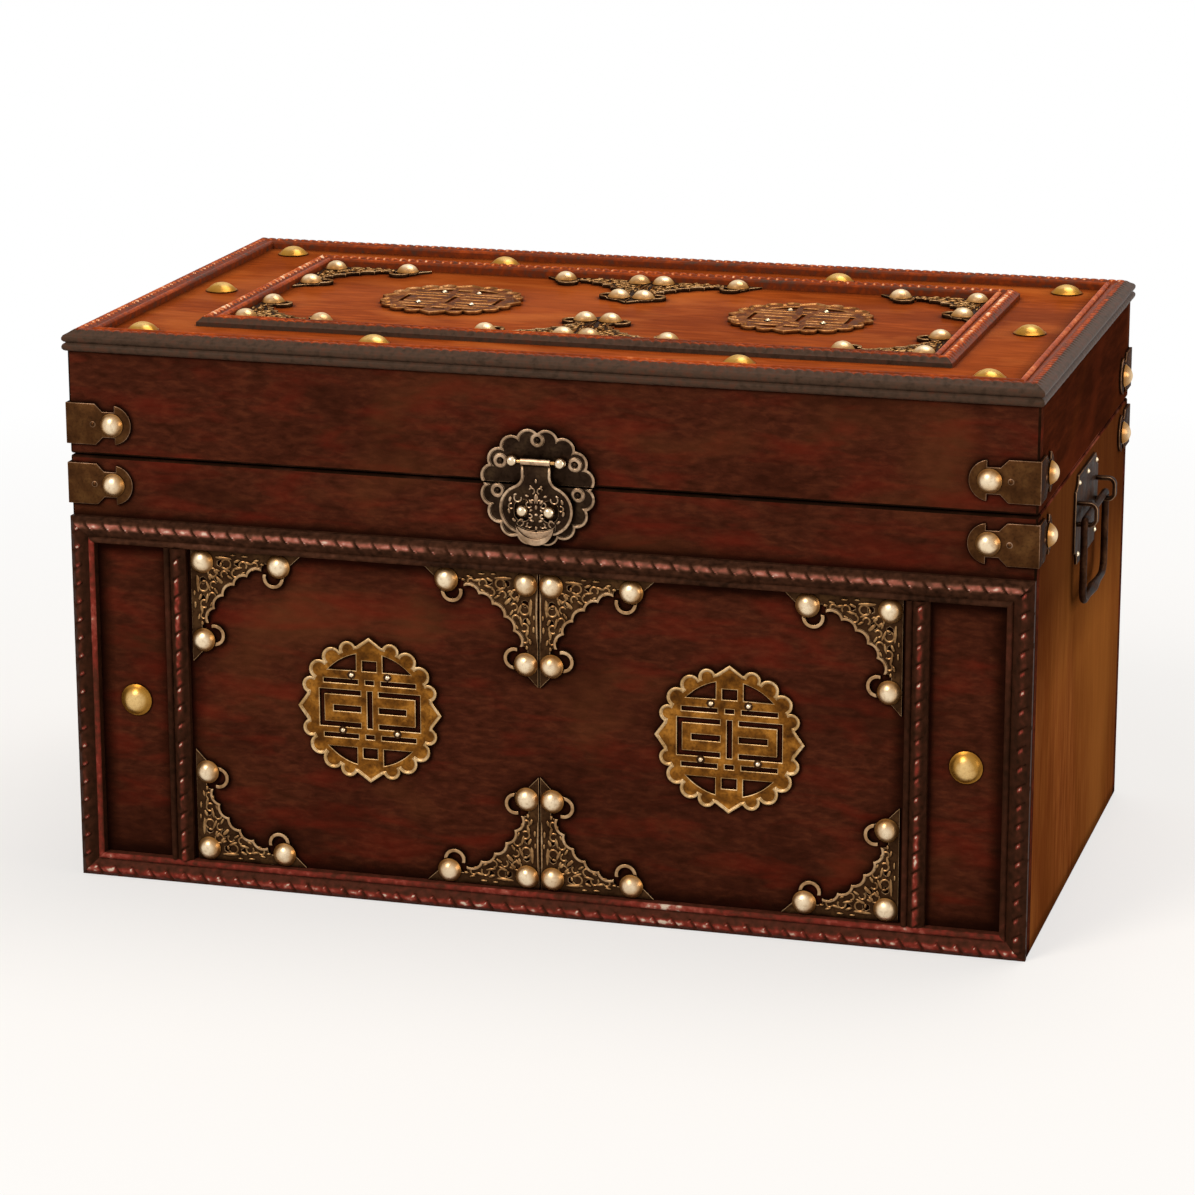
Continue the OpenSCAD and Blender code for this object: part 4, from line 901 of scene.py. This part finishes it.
haspLow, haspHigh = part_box("hasp")
haspLook = {
    # leaves: right of the middle in mm, up from the hasp's foot, length, breadth, turn
    "leaves": [
        (0, 16.6, 1.5, 0.9, 90), (1.9, 15.2, 1.1, 0.6, 50), (3.3, 17.2, 0.9, 0.5, 20),
        (0, 13.2, 1.0, 0.6, 90), (2.0, 12.0, 0.9, 0.5, -30), (9.4, 15.6, 1.2, 0.6, 100),
        (9.8, 11.4, 1.2, 0.6, 80), (8.0, 8.3, 1.1, 0.6, 40), (0, 10.6, 0.8, 0.6, 0),
        (1.6, 8.4, 1.0, 0.55, 20), (3.4, 6.2, 0.9, 0.5, -20), (0, 5.6, 1.1, 0.6, 90),
        (1.8, 20.4, 0.9, 0.5, 70), (0, 22.6, 1.0, 0.5, 90), (7.6, 17.4, 0.8, 0.5, 150),
        (5.3, 8.6, 0.8, 0.5, 10),
    ],
    # stems: right of the middle, up from the foot, radius, start and sweep in degrees
    "curls": [
        (2.6, 14.0, 1.0, 200, 240), (1.5, 19.0, 1.0, 30, 220), (6.6, 16.2, 1.3, 160, 230),
        (9.0, 13.2, 0.9, 220, 240), (5.6, 7.4, 1.0, 20, 240), (2.4, 6.8, 0.9, 200, 230),
        (1.2, 15.0, 0.8, 0, 200), (2.2, 10.0, 0.7, 60, 260),
    ],
    "height": 0.5, "stem": 0.26, "face": 3.2, "lift": 0.1,
    # its raised rim starts this far out, and its knuckle this far down isn't eased
    "rimOut": 3.45 * mm, "knuckle": 4.2 * mm,
}


def haspRelief(bm):
    face = haspLook["face"] * mm
    for x, z, long, broad, turn in haspLook["leaves"]:
        for flip in ((1, -1) if x else (1,)):
            spot = onFront(x * flip * mm, haspLow.z + z * mm, face)
            lump(bm, spot, (long, broad, haspLook["height"]), turn if flip > 0 else 180 - turn)
    for x, z, radius, start, sweep in haspLook["curls"]:
        for flip in (1, -1):
            spot = onFront(x * flip * mm, haspLow.z + z * mm, face + haspLook["lift"] * mm)
            spot = spot @ Matrix.Diagonal((flip, 1, 1, 1))
            curl(bm, spot, radius, haspLook["stem"], start, sweep, 1)


stamped("hasp", latchLook["haspEase"], latchLook["metals"], outFront,
        -frontY + haspLook["rimOut"], haspRelief, haspHigh.z - haspLook["knuckle"])
for node, ease, metal in (
    ("hasp_rod", "smallEase", "rod"), ("hasp_posts", "smallEase", "bright"),
    ("latch_studs", "smallEase", "bright"), ("latch_lower_pins", "pinEase", "latch"),
    ("latch_upper_pins", "pinEase", "latch"),
):
    stamped(node, latchLook[ease], (metal, metal))


# Nails: domed heads turned from a profile, a little uneven from the hammer
nailLook = {
    "round": 3.1 * mm, "dome": 3.3 * mm, "pin": 0.8 * mm, "dent": 0.09 * mm, "rim": 0.04,
    "steps": 24, "rings": 8, "fromSide": 6 * mm, "fromTop": 4 * mm,
}


def outwardOf(middle):
    # Which way a nail looks, from where it stands on the box
    if middle.z < lidTop - nailLook["fromTop"]:
        if abs(middle.x) > sideX - nailLook["fromSide"]:
            return Vector((math.copysign(1, middle.x), 0, 0))
        if abs(middle.y) > -frontY - nailLook["fromSide"]:
            return Vector((0, math.copysign(1, middle.y), 0))
    return Vector((0, 0, 1))


def headProfile(diameter, height):
    radius = (diameter ** 2 / 4 + height ** 2) / (2 * height)
    half = math.asin(min(1.0, diameter / 2 / radius))
    arc = [half * (1 - i / nailLook["rings"]) for i in range(nailLook["rings"] + 1)]
    curve = [(radius * math.sin(a), height - radius + radius * math.cos(a)) for a in arc]
    rim = nailLook["rim"] * diameter
    head = [(r * 0.995, max(z, rim * 1.6)) for r, z in curve[1:]]
    return [(0, 0), (diameter / 2 - rim, 0), (diameter / 2, rim), *head]


def nailHeads(node, height, material):
    bm = bmesh.new()
    for number, (low, high) in enumerate(solidBoxes(node)):
        middle = (low + high) / 2
        out = outwardOf(middle)
        size = high - low
        diameter = min(size[i] for i in range(3) if abs(out[i]) < 0.5)
        top = max(low.dot(out), high.dot(out))
        foot = middle + out * (top - middle.dot(out) - height)
        head = bmesh.new()
        wear = head.verts.layers.float.new("wear")
        profile = [head.verts.new((r, 0, z)) for r, z in headProfile(diameter, height)]
        edges = [head.edges.new(pair) for pair in zip(profile, profile[1:])]
        bmesh.ops.spin(
            head, geom=profile + edges, cent=(0, 0, 0), axis=(0, 0, 1), angle=math.tau,
            steps=nailLook["steps"], use_merge=True, use_duplicate=False,
        )
        bmesh.ops.remove_doubles(head, verts=head.verts, dist=2 * weld)
        for vert in head.verts:
            spot = vert.co / diameter * 2.6 + Vector((number * 3.3, 1.7, 0.2))
            # Painted highlight and shade: brighter towards the top of the head, darker at its rim
            vert[wear] = vert.co.z / height + 0.25 * noise.noise(spot * 0.8)
            if vert.co.z > 0.3 * mm:
                vert.co -= vert.co.normalized() * nailLook["dent"] * abs(noise.noise(spot))
        turn = out.to_track_quat("Z", "Y").to_matrix().to_4x4()
        spun = Matrix.Rotation(dice.uniform(0, 6), 4, "Z")
        add(bm, head, Matrix.Translation(foot) @ turn @ spun)
        head.free()
    finished(bm, camel(node), [material], [node], 60)


for node, kind, metal in (
    ("base_round_nails", "round", "gilt"), ("lid_round_nails", "round", "gilt"),
    ("front_dome_nails", "dome", "dome"), ("lid_dome_nails", "dome", "dome"),
    ("front_medallion_pins", "pin", "bright"), ("lid_medallion_pins", "pin", "bright"),
    ("handle_pins", "pin", "bright"),
):
    nailHeads(node, nailLook[kind], brass[metal])
print("nails made")


# Handles and hinges, with how far their edges are eased in mm
easing = {"plate": 0.2, "loops": 0.25, "bail": 0.1, "leaf": 0.15, "pins": 0.15, "screws": 0.1}
handleMetals = ("handle", "handleRim")
for side in ("right", "left"):
    stamped(side + "_handle_plate", easing["plate"], handleMetals)
    stamped(side + "_handle_loops", easing["loops"], handleMetals)
    stamped(side + "_bail", easing["bail"], handleMetals)
    for leaf in ("base", "lid"):
        stamped(f"{side}_hinge_{leaf}_leaf", easing["leaf"], strapLook["metals"])
stamped("hinge_pins", easing["pins"], ("handleRim", "handleRim"))
for leaf in ("base", "lid"):
    stamped(f"hinge_{leaf}_screws", easing["screws"], ("handleRim", "handleRim"))
print("handles and hinges made")


# Stage: pale floor, white surroundings, soft lamps and the photograph's camera
def plainRays(tree):
    # 1 for what the camera sees, also in metal and through glass, 0 for light on the box
    seen = addNode(tree, "LightPath", {}, {}, "Is Camera Ray")
    for kind in ("Is Transmission Ray", "Is Glossy Ray"):
        ray = addNode(tree, "LightPath", {}, {}, kind)
        seen = addNode(tree, "Math", {"operation": "MAXIMUM"}, {0: seen, 1: ray})
    return seen


# The floor's own colour near the box, where its shadow falls, and white further out
floorLook = {"size": 6, "colour": "#e9e7e4", "From Min": 0.25, "From Max": 0.8, "To Min": 0.6}


def paleFloor():
    bm = bmesh.new()
    bmesh.ops.create_grid(bm, x_segments=1, y_segments=1, size=floorLook["size"])
    mesh = bpy.data.meshes.new("floor")
    bm.to_mesh(mesh)
    bm.free()
    floor = bpy.data.objects.new("floor", mesh)
    bpy.context.scene.collection.objects.link(floor)
    material, tree, shader = newMaterial("paleFloor", {
        "Base Color": linear(floorLook["colour"]), "Roughness": 0.9, "Specular IOR Level": 0.1,
    })
    coords = addNode(tree, "TexCoord", {}, {}, "Object")
    away = addNode(tree, "VectorMath", {"operation": "LENGTH"}, {0: coords}, "Value")
    spread = {name: floorLook[name] for name in ("From Min", "From Max", "To Min")}
    share = addNode(tree, "MapRange", spread, {"Value": away})
    amount = addNode(tree, "Math", {"operation": "MULTIPLY"}, {0: plainRays(tree), 1: share})
    white = addNode(tree, "Emission", {"Color": (1, 1, 1, 1), "Strength": 1.0}, {})
    mixed = addNode(tree, "MixShader", {}, {0: amount, 1: shader.outputs[0], 2: white})
    tree.links.new(mixed, tree.nodes["Material Output"].inputs["Surface"])
    mesh.materials.append(material)


def surroundings(colour, level):
    world = bpy.data.worlds.new("surroundings")
    bpy.context.scene.world = world
    world.use_nodes = True
    tree = world.node_tree
    plain = tree.nodes["Background"]
    plain.inputs["Color"].default_value = linear(colour)
    plain.inputs["Strength"].default_value = level
    white = addNode(tree, "Background", {"Color": (1, 1, 1, 1), "Strength": 1.0}, {})
    mixed = addNode(tree, "MixShader", {}, {0: plainRays(tree), 1: plain.outputs[0], 2: white})
    tree.links.new(mixed, tree.nodes["World Output"].inputs["Surface"])


def lamp(name, place, aim, size, power, colour):
    light = bpy.data.lights.new(name, "AREA")
    light.shape = "DISK"
    light.size = size
    light.energy = power
    light.color = linear(colour)[:3]
    holder = bpy.data.objects.new(name, light)
    holder.location = place
    holder.rotation_euler = (Vector(aim) - Vector(place)).to_track_quat("-Z", "Y").to_euler()
    bpy.context.scene.collection.objects.link(holder)


# Each lamp: name, place, aim, size, power, colour
lampLook = {
    "world": ("#fbf7f2", 0.35),
    "lamps": [
        ("softKey", (-0.7, -1.5, 1.5), (0, 0, 0.1), 0.9, 26, "#fff4e6"),
        ("topSoft", (0.3, 0.4, 1.6), (0, 0, 0.2), 1.0, 14, "#fff8f0"),
        ("sideFill", (1.7, -0.3, 0.5), (0.1, 0, 0.1), 0.9, 9, "#fff0dc"),
    ],
}
paleFloor()
surroundings(*lampLook["world"])
for values in lampLook["lamps"]:
    lamp(*values)

cameraLook = {
    "place": (0.397126, -1.416712, 0.489346), "turn": (74.868, 0.1014, 15.8853),
    "focalPixels": 4081.2, "imagePixels": 1195, "sensor": 36.0, "nearest": 0.05,
}
camera = bpy.data.objects.new("camera", bpy.data.cameras.new("camera"))
camera.data.sensor_width = cameraLook["sensor"]
camera.data.lens = cameraLook["focalPixels"] / cameraLook["imagePixels"] * cameraLook["sensor"]
camera.data.clip_start = cameraLook["nearest"]
camera.location = cameraLook["place"]
camera.rotation_euler = [math.radians(a) for a in cameraLook["turn"]]
bpy.context.scene.collection.objects.link(camera)
bpy.context.scene.camera = camera
bpy.context.scene.view_settings.view_transform = "Standard"
print("stage set")
